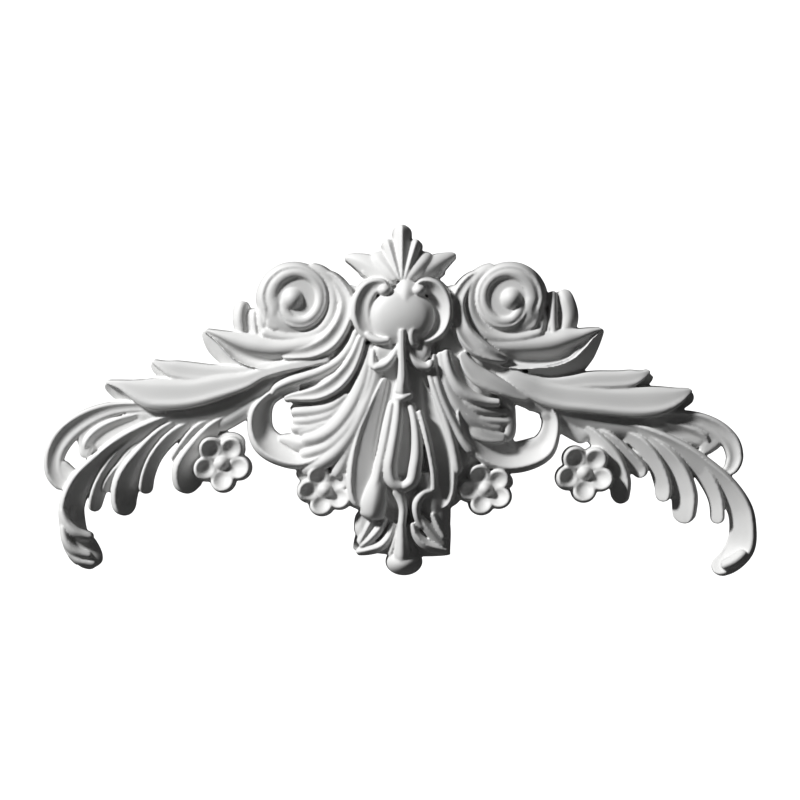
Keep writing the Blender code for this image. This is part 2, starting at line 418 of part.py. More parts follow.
# Crest: a fan of ribs between two pointed leaves
for lean, reach, half, tip, section in (
        (0, 56, 9, 38, RIDGE), (17, 43, 6.5, 37, RIDGE), (41, 36, 9, 33, LOW)):
    aside, up = np.sin(np.radians(lean)), np.cos(np.radians(lean))
    rib = []
    for t in (0, 0.35, 0.7, 1):
        rib.append((-aside * (8 + reach * t), 119 + up * reach * t,
                    half * (0.4 + 0.75 * t - 0.25 * t ** 4), 47 - (47 - tip) * t ** 1.5))
    lobe("crest rib", rib, section, BOTH if lean else MIDDLE)
lobe("crest leaf", [(-6, 116, 5, 43), (-21, 127, 10, 39), (-35, 135, 10, 34), (-48, 140.5, 6, 28),
                    (-57, 143, 2.5, 22)], LOW, LEFT)
lobe("crest leaf", [(6, 116, 5, 43), (21, 127, 10, 39), (35, 136, 9.5, 34), (46, 142, 5.5, 28),
                    (54, 145.5, 2, 22)], LOW, RIGHT)
disc("crest base", (0, 128), 40, 11, 33, PLATE)

# Pendant: rod, swags, hollow panels and the long drop
lobe("rod", [(0, 70, 3.5, 61), (0, 50, 3.2, 61), (0.5, 32, 4, 61), (0.5, 18, 5.2, 60.5),
             (0, 6, 7, 58)], ROUND, MIDDLE, 0.35)
lobe("rod foot", [(-7.5, 1, 3, 54), (1, 2.5, 4.2, 58.5), (10, 6, 3, 55.5)], ROUND, MIDDLE)
lobe("swag arm", [(-4, 54, 2.5, 55), (-9, 43, 3.5, 56), (-17, 35, 4.5, 56), (-29, 31.5, 4, 55)], ROUND)
lobe("swag end", [(-28.5, 31, 3.5, 54), (-29, 40, 3, 52), (-28.5, 51, 2, 50)], ROUND, LEFT)
lobe("swag end", [(28.5, 32, 4.5, 55.5), (28, 40, 4, 54.5)], ROUND, RIGHT)
lobe("swag cloth", [(-17, 58, 11, 51), (-18, 38, 11, 51)], FLAT)
lobe("panel", [(-16, 22, 3, 49), (-22, 5, 6, 50.5), (-28, -14, 9, 50), (-34, -34, 12, 49),
               (-38, -55, 14, 48), (-40, -75, 14.5, 47), (-40, -92, 13.5, 45),
               (-36, -108, 10, 42)], PANEL, LEFT)
lobe("panel", [(17, 20, 3, 43), (23, 5, 6, 43.5), (29, -14, 9, 43.5), (35, -34, 12, 44),
               (39, -55, 14, 44.5), (40.5, -75, 14.5, 45), (40, -92, 13.5, 43.5),
               (36, -108, 10, 41)], PANEL, RIGHT)
lobe("thin rib", [(-10, -2, 2.5, 54), (-13, -20, 3.5, 55), (-16.5, -40, 4.5, 54.5),
                  (-21, -62, 5, 52.5), (-25, -82, 6, 50), (-29, -96, 8, 48)], ROUND, LEFT)
lobe("thin rib", [(17, -10, 2, 55), (21.5, -26, 2.6, 57), (25.5, -43, 2.8, 57), (29, -60, 2.8, 55.5),
                  (31.5, -77, 2.8, 53), (32, -90, 2.5, 49)], ROUND, RIGHT)
lobe("rim of the drop", [(-4, 12, 3, 50), (-4, -2, 4, 55.5), (-4.5, -16, 4.8, 57.5),
                         (-6.5, -32, 5.5, 58), (-9.5, -50, 6, 58), (-12, -67, 6.5, 57),
                         (-9, -81, 6.2, 55), (1.5, -88, 5, 53)], ROUND, LEFT)
lobe("rim of the drop", [(7, -2, 3, 52), (11, -14, 3.5, 56), (14, -31, 4.5, 58), (15, -50, 5.8, 58),
                         (13, -67, 6.3, 57), (9.5, -81, 6.2, 55), (-1.5, -88, 5, 53)], ROUND, RIGHT)
lobe("flare", [(-20, -70, 5, 49), (-24.5, -86, 9, 49.5), (-27.5, -101, 12, 49), (-29.5, -113, 12, 46),
               (-30.5, -119, 11, 42)], LOW, LEFT, 0.4)
lobe("flare", [(22, -72, 5, 48), (26, -88, 9, 46), (30, -102, 12, 43),
               (31, -117, 12, 38)], LOW, RIGHT, 0.5)
lobe("curl on the flare", [(31, -90.5, 4, 47), (21, -93, 4.5, 49.5), (14.5, -103, 4, 49),
                           (15, -116, 3.5, 46), (21, -128, 3, 40)], ROUND, RIGHT)
lobe("floor of the drop", [(0, 2, 8, 50), (0, -25, 10, 46), (0, -50, 12, 44),
                           (0, -76, 12, 44)], FLAT, MIDDLE)

# Foot: plate, middle stem and folded leaves
lobe("foot plate", [(1, -105, 44, 22), (2.5, -130, 46.5, 22), (0, -149, 49, 19),
                    (-0.5, -156, 49, 17)], FLAT, MIDDLE, 0.08)
lobe("foot bed", [(-31, -108, 13, 30), (-33, -126, 14, 28), (-32, -142, 14, 25)], FLAT, LEFT)
lobe("foot bed", [(34, -100, 13, 40), (34, -120, 13, 37), (32, -142, 14, 32)], LOW, RIGHT, 0.6)
lobe("foot stem", [(-7, -88, 5, 50), (-2, -96, 5, 48), (1, -108, 4, 46), (0, -125, 4, 44),
                   (0, -145, 6, 42), (0, -162, 9, 39)], ROUND, MIDDLE)
disc("foot bulb", (2, -162), 17, 13, 38, BUTTON, MIDDLE)
lobe("outer foot leaf", [(-8, -122, 3.5, 35), (-12, -135, 4.5, 34), (-21, -145.5, 5, 32),
                         (-35, -150, 4.5, 29), (-46, -152, 3, 25)], RIDGE, LEFT)
lobe("outer foot leaf", [(10, -122, 3.5, 42), (14, -134, 5, 41), (23, -143.5, 5.5, 39),
                         (36, -148, 5, 35), (46, -150.5, 3, 30)], RIDGE, RIGHT)
lobe("middle foot leaf", [(-16, -117, 3, 35), (-23, -129, 4.5, 34), (-32, -139, 4.5, 31),
                          (-42, -147, 3, 27)], RIDGE, LEFT)
lobe("middle foot leaf", [(17, -115, 3.5, 44), (24, -126, 5, 42), (33, -136, 5, 38),
                          (43, -145, 3, 33)], RIDGE, RIGHT)
lobe("inner foot leaf", [(-28, -115, 3.5, 33), (-35, -129, 4.5, 31), (-43, -144, 3.5, 27)], RIDGE, LEFT)
lobe("inner foot leaf", [(30, -112, 3.5, 43), (36, -125, 4.5, 40), (43, -138, 3.5, 35)], RIDGE, RIGHT)
lobe("foot leaf by the stem", [(-5, -126, 3, 33), (-8, -142, 4, 32), (-12, -156, 4.5, 28)], RIDGE)


# Fuse the lobes into one casting
mesh = bpy.data.meshes.new("applique")
shells.to_mesh(mesh)
shells.free()

primed = bpy.data.materials.new("primed white")
primed.use_nodes = True
shader = primed.node_tree.nodes["Principled BSDF"]
shader.inputs["Base Color"].default_value = WHITE
shader.inputs["Roughness"].default_value = 0.6
shader.inputs["Metallic"].default_value = 0.0
mesh.materials.append(primed)

parts = bpy.data.collections.new("onlay applique")
cutters = bpy.data.collections.new("cutters")
bpy.context.scene.collection.children.link(parts)
bpy.context.scene.collection.children.link(cutters)
applique = bpy.data.objects.new("applique", mesh)
parts.objects.link(applique)

fuse = applique.modifiers.new("fuse", "REMESH")
fuse.mode = "VOXEL"
fuse.voxel_size = GRAIN * MM
bpy.context.view_layer.update()
fused = bpy.data.meshes.new_from_object(applique.evaluated_get(bpy.context.evaluated_depsgraph_get()))
fused.calc_loop_triangles()
share = TRIANGLES / len(fused.loop_triangles)
bpy.data.meshes.remove(fused)

facet = applique.modifiers.new("facet", "DECIMATE")
facet.ratio = share
facet.use_collapse_triangulate = True

# Cut the back flat
bpy.ops.mesh.primitive_cube_add(size=1, location=(0, 0.05, 0))
wall = bpy.context.object
wall.name = "wall face"
wall.scale = (1.0, 0.1, 0.6)
wall.hide_render = True
wall.display_type = "WIRE"
for owner in list(wall.users_collection):
    owner.objects.unlink(wall)
cutters.objects.link(wall)
flat_back = applique.modifiers.new("flat back", "BOOLEAN")
flat_back.operation = "DIFFERENCE"
flat_back.solver = "EXACT"
flat_back.object = wall
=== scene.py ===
import bmesh
import bpy
import numpy as np
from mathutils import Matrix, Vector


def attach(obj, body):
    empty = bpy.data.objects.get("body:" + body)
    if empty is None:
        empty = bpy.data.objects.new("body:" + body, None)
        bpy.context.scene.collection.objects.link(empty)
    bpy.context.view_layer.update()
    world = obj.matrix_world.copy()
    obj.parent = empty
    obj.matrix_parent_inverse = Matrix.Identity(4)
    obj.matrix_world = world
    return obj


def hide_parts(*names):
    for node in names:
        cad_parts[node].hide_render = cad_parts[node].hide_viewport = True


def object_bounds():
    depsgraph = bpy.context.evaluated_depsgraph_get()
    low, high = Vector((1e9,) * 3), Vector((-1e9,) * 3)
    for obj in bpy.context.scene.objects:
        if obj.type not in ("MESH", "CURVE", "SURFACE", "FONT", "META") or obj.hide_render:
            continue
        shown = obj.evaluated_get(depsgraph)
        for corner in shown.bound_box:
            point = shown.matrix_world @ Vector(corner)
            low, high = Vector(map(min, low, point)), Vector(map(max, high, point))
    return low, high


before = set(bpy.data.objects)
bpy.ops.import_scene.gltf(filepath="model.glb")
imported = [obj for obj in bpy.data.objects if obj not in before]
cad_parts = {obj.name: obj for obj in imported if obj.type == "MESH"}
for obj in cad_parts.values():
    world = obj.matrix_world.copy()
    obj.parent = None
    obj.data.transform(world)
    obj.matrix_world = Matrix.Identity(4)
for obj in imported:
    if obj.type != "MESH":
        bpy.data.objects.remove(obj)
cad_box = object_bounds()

# Ground of the body: the thick low middle of the ornament, which carries all its ribs and leaves.
# The whole relief is one dense polyurethane casting with a flat back, primed white. Every mass, rib, leaf
# and petal in it is a lobe or a disc, and they are fused into one skin further down.
MM = 0.001              # the masses are given in millimetres from the middle of the body
DRAFT = 0.07            # sideways run of a side wall for each millimetre that it is tall
BEHIND = 4.0            # how far the masses reach behind the back before it is cut flat
STEP = 1.4              # spacing of the grid lines on a mass
WALL_ROWS = 5           # grid lines down a drafted side
LEFT, RIGHT, BOTH, MIDDLE = "left", "right", "both", "middle"

# Cross sections: how far the surface lies below the crest, in half widths, from the right-hand edge of
# the path to its left-hand edge
ROUND = (0.90, 0.42, 0.10, 0.0, 0.10, 0.42, 0.90)
FLAT = (0.40, 0.06, 0.0, 0.0, 0.0, 0.06, 0.40)

points, quads, caps = [], [], []


def fade(value, start, full):
    """Rise from 0 at start to 1 at full: t squared times (3 - 2t), for t the share of the way, 0 to 1."""
    t = min(max((value - start) / (full - start), 0.0), 1.0)
    return t * t * (3 - 2 * t)


RIGHT_DROOP = 12.0      # the right arm hangs this much lower than a mirror image
RIGHT_SHIFT = 5.0       # and the ground under the right scroll reaches this much further out


def mirrored(place):
    """Where a place on the left comes on the right: x changes sign, and the droop and the shift fade in.

    The droop grows outwards and downwards to the arm, and the shift is kept to the scroll's foot.
    """
    x, z, *rest = place
    out = -x
    aside = RIGHT_SHIFT * fade(z, -30, -50) * fade(out, 50, 65) * fade(out, 220, 200)
    drop = RIGHT_DROOP * fade(z, 65, 40) * fade(out, 60, 120)
    return (out + aside, z - drop, *rest)


def along(table, t):
    """Cubic curve through the rows of a table, at t from 0 to 1 of the length of their chords.

    The slope at a row is the step between its neighbours over their distance, and each span is the
    cubic that meets the places and slopes of its two ends.
    """
    gap = np.hypot(*np.diff(table[:, :2], axis=0).T)
    chord = np.concatenate([[0], np.cumsum(gap)])
    slope = np.empty_like(table)
    slope[1:-1] = (table[2:] - table[:-2]) / (chord[2:] - chord[:-2])[:, None]
    slope[0] = (table[1] - table[0]) / gap[0]
    slope[-1] = (table[-1] - table[-2]) / gap[-1]
    place = t * chord[-1]
    i = np.clip(np.searchsorted(chord, place, side="right") - 1, 0, len(gap) - 1)
    s = ((place - chord[i]) / gap[i])[:, None]
    g = gap[i][:, None]
    start = (1 + 2 * s) * (1 - s) ** 2 * table[i] + s * (1 - s) ** 2 * g * slope[i]
    finish = s * s * (3 - 2 * s) * table[i + 1] + s * s * (s - 1) * g * slope[i + 1]
    return start + finish, chord[-1]


def drop_at(section, t):
    """Smooth curve through the evenly spaced drops of a section, read at t from 0 to 1."""
    table = np.stack([np.linspace(0, 1, len(section)), np.zeros(len(section)), np.array(section, float)], 1)
    return along(table, t)[0][:, 2]


def add_grid(x, z, height):
    """Keep one closed skin: each row of the grid is a ring round the mass, and both end rings are capped."""
    rows, columns = x.shape
    base = sum(len(grid) for grid in points)
    points.append(np.stack([x, -height, z], -1).reshape(-1, 3) * MM)
    index = base + np.arange(rows * columns).reshape(rows, columns)
    beside = np.roll(index, -1, axis=1)
    quads.append(np.stack([index[:-1], beside[:-1], beside[1:], index[1:]], -1).reshape(-1, 4))
    caps.append(index[0][::-1])
    caps.append(index[-1])


CAP_ROWS = 10           # grid lines that round off each end of a lobe
LONGEST_CAP = 0.3       # most of a lobe's length that a rounded end takes up
NUDGE = 0.001           # step along the path, as a share of it, that gives its heading
THINNEST = 0.3          # least half width on the path
TIP = 0.02              # share of the half width that is left at the very end
END_FALL = 0.5          # fall of the crest at the end, in rounded-off lengths
LEAST_COLUMNS = 9       # fewest grid lines that run along a lobe
LOWEST = 2              # least height of the surface above the back


def sweep(stations, section, blunt):
    """One lobe: a section carried along the path through stations of (x, z, half width, crest height).

    At distance q from an end, in rounded-off lengths, both the half width and the crest follow the
    quarter circle, the root of 1 - (1 - q) squared, so the end is round. Across the path the surface
    lies at the crest less the half width times the section's drop, and drafted sides run to the back.
    """
    table = np.array(stations, float)
    _, length = along(table, np.zeros(1))
    first = min(table[0, 2] * blunt / length, LONGEST_CAP)
    last = min(table[-1, 2] * blunt / length, LONGEST_CAP)
    rise = 1 - np.cos(np.linspace(0, np.pi / 2, CAP_ROWS))
    middle = np.linspace(first, 1 - last, int(length / STEP) + 3)
    t = np.concatenate([first * rise[:-1], middle, 1 - last * rise[-2::-1]])
    spine, _ = along(table, t)
    ahead, _ = along(table, np.minimum(t + NUDGE, 1))
    behind, _ = along(table, np.maximum(t - NUDGE, 0))
    heading = (ahead - behind)[:, :2]
    heading /= np.hypot(heading[:, 0], heading[:, 1])[:, None]
    side = np.stack([-heading[:, 1], heading[:, 0]], 1)
    half = np.maximum(spine[:, 2], THINNEST)
    crest = spine[:, 3]
    for way, end in ((t * length, half[0]), ((1 - t) * length, half[-1])):
        q = np.clip(way / (end * blunt), 0, 1)
        round_off = np.sqrt(1 - (1 - q) ** 2)
        half = half * np.maximum(round_off, TIP)
        crest = crest - end * blunt * END_FALL * (1 - round_off)
    u = np.linspace(-1, 1, max(LEAST_COLUMNS, int(2 * half.max() / STEP) | 1))
    top = np.maximum(crest[:, None] - half[:, None] * drop_at(section, (u + 1) / 2)[None, :], LOWEST)
    offset = half[:, None] * u[None, :]
    up = np.linspace(0, 1, WALL_ROWS)[None, :]
    down = up[:, ::-1]
    across = np.concatenate([offset[:, :1] - DRAFT * top[:, :1] * (1 - up[:, :-1]), offset,
                             offset[:, -1:] + DRAFT * top[:, -1:] * (1 - down[:, 1:])], 1)
    height = np.concatenate([(top[:, :1] + BEHIND) * up[:, :-1] - BEHIND, top,
                             (top[:, -1:] + BEHIND) * down[:, 1:] - BEHIND], 1)
    add_grid(spine[:, :1] + side[:, :1] * across, spine[:, 1:2] + side[:, 1:2] * across, height)


def lobe(name, stations, section=ROUND, where=BOTH, blunt=1.0):
    """A lobe on the left, on the right, on both halves or in the middle; its name is for the reader."""
    if where == RIGHT:
        sweep(stations, section[::-1], blunt)
    else:
        sweep(stations, section, blunt)
    if where == BOTH:
        sweep([mirrored(place) for place in stations], section[::-1], blunt)


lobe("body side", [(-50, 115, 12, 26), (-57, 70, 24, 34), (-57, 20, 36, 38), (-50, -30, 34, 36),
                   (-40, -80, 26, 34), (-32, -110, 16, 30)], FLAT)
lobe("body middle", [(0, 130, 14, 30), (0, 80, 30, 42), (0, 0, 30, 44), (0, -70, 34, 40),
                     (0, -112, 22, 32)], FLAT, MIDDLE)
lobe("body waist", [(-62, 40, 22, 32), (-97, 28, 16, 28), (-122, 16, 9, 24)], FLAT)
lobe("body haunch", [(-52, -20, 26, 34), (-82, -40, 22, 30), (-112, -52, 12, 18)], FLAT)

# Three stepped leaves on each side: broad smooth blades that overlap like feathers, the upper one shortest.
# They are cast with the body, hollowed along the middle, and a bevelled lip turns down round each tip.
SHELL = (0.40, 0.10, 0.0, 0.14, 0.66, 0.70, 0.14)
LEAF = (0.42, 0.22, 0.16, 0.14, 0.10, 0.0, 0.16)
BEVEL = (0.0, 0.10, 0.34, 0.66, 1.0, 1.36, 1.75)
lobe("upper leaf", [(-57, 78, 6, 44), (-77, 57, 10, 43), (-102, 49, 14, 41), (-127, 46.5, 15.5, 38),
                    (-147, 49, 16.5, 35.5), (-161, 53, 14.5, 33), (-172, 58, 10.5, 31),
                    (-184, 64, 5.5, 28), (-197, 69.5, 1.5, 24)], SHELL, LEFT)
lobe("upper leaf edge", [(-140, 29, 3, 26), (-156, 33, 6, 24), (-170, 39, 8, 22), (-181, 47, 8.5, 20),
                         (-189, 55, 8, 17), (-195, 63, 5.5, 14), (-198.5, 69.5, 3, 11)], BEVEL, LEFT)
lobe("upper leaf", [(72, 66, 6, 32), (86, 57, 12, 34), (104, 50, 17, 36), (128, 49, 18, 36),
                    (150, 51, 18, 35), (166, 56, 16, 33.5), (178, 61, 11, 31), (188, 66, 6, 29),
                    (200, 70.5, 1.5, 25)], SHELL, RIGHT)
lobe("upper leaf edge", [(126, 28, 4, 32), (150, 29, 7.5, 31), (170, 33, 10, 29), (182, 44, 9.5, 26),
                         (190, 56, 8, 23), (197, 66, 5, 20), (201.5, 70.5, 2, 17)], BEVEL, RIGHT)
lobe("middle leaf", [(-67, 50, 5, 40), (-97, 38, 6, 37), (-127, 31, 7, 33), (-162, 26, 7.5, 29.5),
                     (-189, 26, 8.5, 27), (-214, 28, 9.5, 25), (-229, 30.5, 8.5, 24),
                     (-240, 34.5, 4.5, 22), (-250, 39, 1.5, 19)], LEAF, LEFT)
lobe("middle leaf edge", [(-207, 21, 4, 19), (-222, 22, 5.5, 18), (-235, 25, 6, 16),
                          (-245, 31, 5.5, 14), (-250.5, 38, 3, 11)], BEVEL, LEFT)
lobe("middle leaf", [(102, 32, 3, 30), (114, 25, 5, 31.5), (128, 19.5, 6, 30), (146, 16, 6, 28.5),
                     (168, 17, 7, 28), (189, 19.5, 8.5, 27.5), (217, 20, 8.5, 27),
                     (232, 22, 7.5, 26.5), (241, 25, 4, 25), (248, 29, 1.5, 21)], LEAF, RIGHT)
lobe("middle leaf edge", [(188, 12, 3, 21), (213, 12.5, 4, 20), (230, 14.5, 5, 18), (241, 18, 6, 16),
                          (247, 22.5, 5, 14), (248.5, 26, 4, 12)], BEVEL, RIGHT, 0.5)
lobe("lower leaf", [(-72, 42, 4, 42), (-97, 36, 4, 40), (-118, 32, 4, 38), (-140, 26, 5, 35),
                    (-157, 19, 8, 33.5), (-180, 13.5, 11.5, 32), (-212, 6.5, 14, 30.5),
                    (-240, 5.5, 15.5, 29.5), (-254, 6.5, 14.5, 28.5), (-268, 10.5, 9.5, 26.5),
                    (-281, 15, 4.5, 24), (-296, 18, 1.5, 20)], LEAF, LEFT)
lobe("lower leaf edge", [(-237, -12.5, 4, 22), (-249, -11, 6.5, 21), (-261, -5.5, 8, 20),
                         (-272, 0.5, 8, 18), (-283, 6.5, 7.5, 16), (-292, 12, 5.5, 13),
                         (-298, 15.5, 3, 11)], BEVEL, LEFT)
lobe("lower leaf", [(95, 30, 4, 29.5), (106, 25, 6, 33), (120, 17, 8, 34), (138, 8, 11, 33),
                    (160, 3, 13, 32), (183, 1, 13.5, 31.5), (206, -1.5, 13.5, 31),
                    (233, -2.5, 15, 30.5), (253, -1.5, 14.5, 30), (266, 0.5, 12, 29),
                    (276, 3.5, 8.5, 27.5), (284, 7, 4.5, 25), (290, 9.5, 1.5, 22)], LEAF, RIGHT)
lobe("lower leaf edge", [(208, -12, 4, 25), (230, -16.5, 5, 24.5), (250, -16, 5.5, 24),
                         (265, -11, 6.5, 22), (277, -4, 7, 20), (286, 2, 7, 18),
                         (292, 6, 5, 15)], BEVEL, RIGHT)

# Volutes: a broad band on each side that winds once round and closes on the round eye in its middle.
# They are cast with the body, and their floor lies lower, so the band throws a soft shadow inside.
BAND = (0.62, 0.20, 0.04, 0.0, 0.05, 0.22, 0.14, 0.42, 1.05)
LOW = (0.55, 0.26, 0.08, 0.0, 0.10, 0.30, 0.60)

# Profiles from the middle of a disc to its rim, in radii below the top
BUTTON = (0.0, 0.06, 0.22, 0.50, 0.95)
PLATE = (0.0, 0.0, 0.0, 0.0, 0.1)
HUB = 0.02                      # radius of the innermost ring of a disc, in radii
LEAST_RINGS, LEAST_SPOKES = 8, 24
RIM = 6                         # length of a rim in radii, rounded down, along which the spokes are spaced


def turn_disc(at, wide, tall, height, profile, lift):
    """One disc on a grid of radius and angle: the height less the mean radius times the profile's drop.

    Its rim is an oval, lift is the slope of its top to the right and upwards, and its side is drafted.
    """
    size = (wide * tall) ** 0.5
    r = np.linspace(HUB, 1, max(LEAST_RINGS, int(size / STEP)))[:, None]
    spokes = max(LEAST_SPOKES, int(RIM * size / STEP))
    angle = np.linspace(0, 2 * np.pi, spokes, endpoint=False)[None, :]
    rim_drop = profile[-1] * size
    wall = np.linspace(0, 1, WALL_ROWS)[1:, None]
    spread = np.concatenate([r, 1 + DRAFT * (height - rim_drop) / size * wall])
    x = wide * spread * np.cos(angle)
    z = tall * spread * np.sin(angle)
    top = height - size * drop_at(profile, r[:, 0])[:, None] + (lift[0] * x + lift[1] * z)[:len(r)]
    height_grid = np.concatenate([top, top[-1:] - (top[-1:] + BEHIND) * wall])
    add_grid(at[0] + x, at[1] + z, height_grid)


def disc(name, at, wide, tall, height, profile=BUTTON, where=BOTH, lift=(0, 0)):
    """A petal, button or boss, on one side, on both halves or in the middle; its name is for the reader."""
    turn_disc(at, wide, tall, height, profile, lift)
    if where == BOTH:
        turn_disc(mirrored(at), wide, tall, height, profile, lift)


disc("volute floor", (-106, 100), 36, 36, 36.5, PLATE)
disc("corner under the volute", (-126, 78), 9, 8, 34.5, PLATE)

# The winding goes round its middle at an even distance and closes in at its inner end. Its band is
# broad at the outer end, slim on the way round and a little broader again at the inner end. The first
# place is a slim tail that runs up from the upper leaf.
VOLUTE_X, VOLUTE_Z = -106, 102
TURN_FROM, TURN = 208, 398      # direction of the outer end, and the way round from there, in degrees
REACH, CLOSES_IN = 27, 14       # distance from the middle, and how far the inner end closes in
INNER_END = 0.68                # share of the way after which it closes in
winding = [(-136, 69, 5, 30)]
for t in np.linspace(0, 1, 14):
    angle = np.radians(TURN_FROM - TURN * t)
    closing = fade(t, INNER_END, 1)
    reach = REACH - CLOSES_IN * closing
    winding.append((VOLUTE_X + reach * np.cos(angle), VOLUTE_Z + reach * np.sin(angle),
                    7 + 6 * fade(t, 0.4, 0) + 2.5 * fade(t, 0.7, 1),
                    38 + 3 * fade(t, 0, 0.25) - 3 * closing))
lobe("volute", winding, BAND)
lobe("volute shell", [(-140, 68, 4, 34), (-122, 63, 5.5, 36), (-102, 62, 6, 37), (-83, 68.5, 6.5, 38),
                      (-71, 83, 7, 39), (-68, 101, 7, 39), (-72, 117, 7, 38), (-82, 127, 6.5, 37),
                      (-94, 132, 5, 35)], LOW)
disc("volute eye", (-109, 101), 13, 13, 45)

# Bud beside each volute: a few plain upright petals that stand up behind the upper leaf.
# They are low and cast on a small ground of their own, which joins them to the volute.
disc("bud back", (-148, 77), 13, 14, 22, PLATE)
lobe("bud outer petal", [(-159, 66, 6, 26), (-162, 81, 7, 27), (-160, 97, 7, 25),
                         (-160, 99, 6, 22)], ROUND, LEFT)
lobe("bud outer petal", [(161, 65, 8, 27), (167, 82, 9, 28), (164, 100, 8, 27),
                         (159, 110, 6, 23)], LOW, RIGHT)
lobe("bud fold", [(152, 66, 4, 30), (151, 82, 4.5, 31), (151, 98, 4, 30),
                  (151, 109, 3, 26)], ROUND, RIGHT)
lobe("bud thin petal", [(-145, 62, 3.5, 28), (-147.5, 78, 3, 28), (-148, 89, 3, 26)], ROUND)
lobe("bud inner petal", [(-136, 60, 4, 31), (-140, 78, 4, 31), (-140, 94, 3.5, 30)], ROUND)

# Ribs that fall from the cartouche and fan out sideways, like a mane, to the leaves and the scrolls.
# They are cast with the body in steps, each rib a little lower than the one that it springs from.
FLUTE = (0.45, 0.08, 0.20, 0.30, 0.20, 0.0, 0.60)
lobe("rib round the volute", [(-82, 128, 3, 34), (-69, 121, 5.5, 38), (-60, 110, 7, 41),
                              (-55, 97, 8, 44), (-57, 83, 8.5, 46), (-63.5, 69, 9.5, 47),
                              (-74, 57, 10, 46), (-89, 49, 9, 44), (-104, 46, 6.5, 41),
                              (-120, 45, 5, 36)], FLUTE, LEFT)
lobe("rib round the volute", [(82, 128, 3, 34), (69, 121, 5.5, 38), (60, 110, 7, 41), (55, 97, 8, 44),
                              (56, 83, 8.5, 46), (61, 69, 9, 47), (70, 57, 10, 46.5), (82, 48, 9, 45),
                              (95, 42.5, 6, 40.5), (106, 40, 3, 34)], FLUTE, RIGHT)
lobe("second rib", [(-45, 70, 3, 46), (-51, 54, 4.5, 46), (-63, 39, 5, 44), (-80, 29, 5.5, 42),
                    (-97, 23, 5.5, 40), (-113, 18, 5, 38), (-125, 12, 4, 35),
                    (-130, 5, 2.5, 31)], ROUND, LEFT)
lobe("second rib", [(59, 48, 3, 44), (65, 36, 6.5, 45), (75, 25, 9, 44.5), (88, 17.5, 9, 43),
                    (102, 11, 7, 40), (115, 5, 4.5, 36), (127, 1, 2.5, 32)], LEAF, RIGHT)
lobe("third rib", [(-39, 64, 4, 50), (-46, 44, 6, 50), (-55, 28, 8, 49), (-68, 15, 9, 48),
                   (-83, 7, 8, 45), (-98, 4, 5.5, 40), (-110, 3, 3.5, 35),
                   (-118, 1, 2, 31)], FLUTE, LEFT)
lobe("third rib", [(43.5, 50, 3, 50), (45.5, 37, 4.5, 50), (50, 23, 5.5, 49.5), (58, 11, 6.5, 48.5),
                   (69, 3, 6, 46.5), (83, -1.5, 4.5, 43), (98, -3, 4, 40)], ROUND, RIGHT, 0.5)
lobe("upper short rib", [(-54, 6, 3, 44), (-69, -6, 6, 42.5), (-86, -11, 5.5, 39), (-100, -12, 5, 36),
                         (-111, -12, 4, 32)], LOW, LEFT)
lobe("upper short rib", [(62, -2, 2.5, 42), (74, -9, 4, 40.5), (90, -12, 3.5, 35.5),
                         (107, -12, 2.5, 29.5)], LOW, RIGHT, 0.5)
lobe("middle short rib", [(-56, -2, 3, 43), (-72, -15, 6, 41.5), (-89, -20, 5.5, 38),
                          (-100, -21, 5, 35), (-109, -21, 4, 31)], LOW, LEFT)
lobe("middle short rib", [(63, -11.5, 2.5, 39.5), (72, -18, 4.5, 39.5), (88, -21, 4.5, 35.5),
                          (108, -21.5, 3.5, 29.5)], LOW, RIGHT, 0.5)
lobe("lower short rib", [(-62, -12, 3, 42), (-77, -24, 5.5, 40), (-92, -30, 5.5, 37),
                         (-104, -31, 5, 33)], LOW, LEFT)
lobe("lower short rib", [(65, -21, 3, 37), (73, -30.5, 6.5, 38.5), (85, -36, 7, 36.5),
                         (103, -38, 4.5, 31)], LEAF, RIGHT, 0.5)
lobe("fourth rib", [(-31, 56, 4, 46), (-34, 38, 6, 47), (-39, 18, 7.5, 48), (-46, 1, 8.5, 48),
                    (-55, -14, 9, 47.5), (-67, -28, 9, 46), (-82, -37, 7.5, 43),
                    (-100, -41, 6, 37)], LOW, LEFT)
lobe("fourth rib", [(38, 48, 3, 46), (41, 28, 5, 46.5), (46.5, 9, 7, 46), (55, -7, 9.5, 45),
                    (69, -19, 10, 41.5), (85, -26, 9, 36), (100, -28, 7, 31)], LOW, RIGHT, 0.5)
lobe("fifth rib", [(-27, 52, 3, 47), (-30, 30, 5, 48), (-35, 9, 6.5, 48.5), (-44, -13, 8, 48),
                   (-57, -32, 9, 47), (-73, -46, 8, 43.5), (-89, -52, 6, 39),
                   (-102, -55, 5, 33)], LOW, LEFT)
lobe("sixth rib", [(-24, 48, 3, 47), (-26, 28, 4.5, 48.5), (-31, 8, 6, 49.5), (-38, -9, 7, 50),
                   (-45, -24, 8, 49), (-54, -39, 9, 48), (-65, -52, 9, 46), (-79, -62, 7, 42),
                   (-93, -68, 5, 36), (-101, -70, 3.5, 31)], LOW, LEFT)
lobe("sixth rib", [(31, 46, 3, 47), (33, 26, 4, 48.5), (38, 6, 4.5, 49.5), (45, -11, 5, 49.5),
                   (53, -27, 5, 48.5), (61, -41, 5, 47), (70, -52, 4.5, 44)], ROUND, RIGHT)
lobe("seventh rib", [(-22, 38, 3, 47), (-26, 19, 5, 48.5), (-32, 1, 6.5, 49), (-39, -17, 8, 48.5),
                     (-47, -35, 9, 47), (-54, -52, 9, 45), (-61, -67, 8, 42),
                     (-67, -77, 6, 38)], LOW, LEFT)
lobe("seventh rib", [(24, 36, 2.5, 47), (30.5, 15, 3, 49.5), (37, -4, 3.5, 50), (43.5, -21, 4, 50),
                     (49, -39, 4.5, 49), (53, -57, 5, 47.5), (55.5, -74, 5.5, 45)], ROUND, RIGHT)

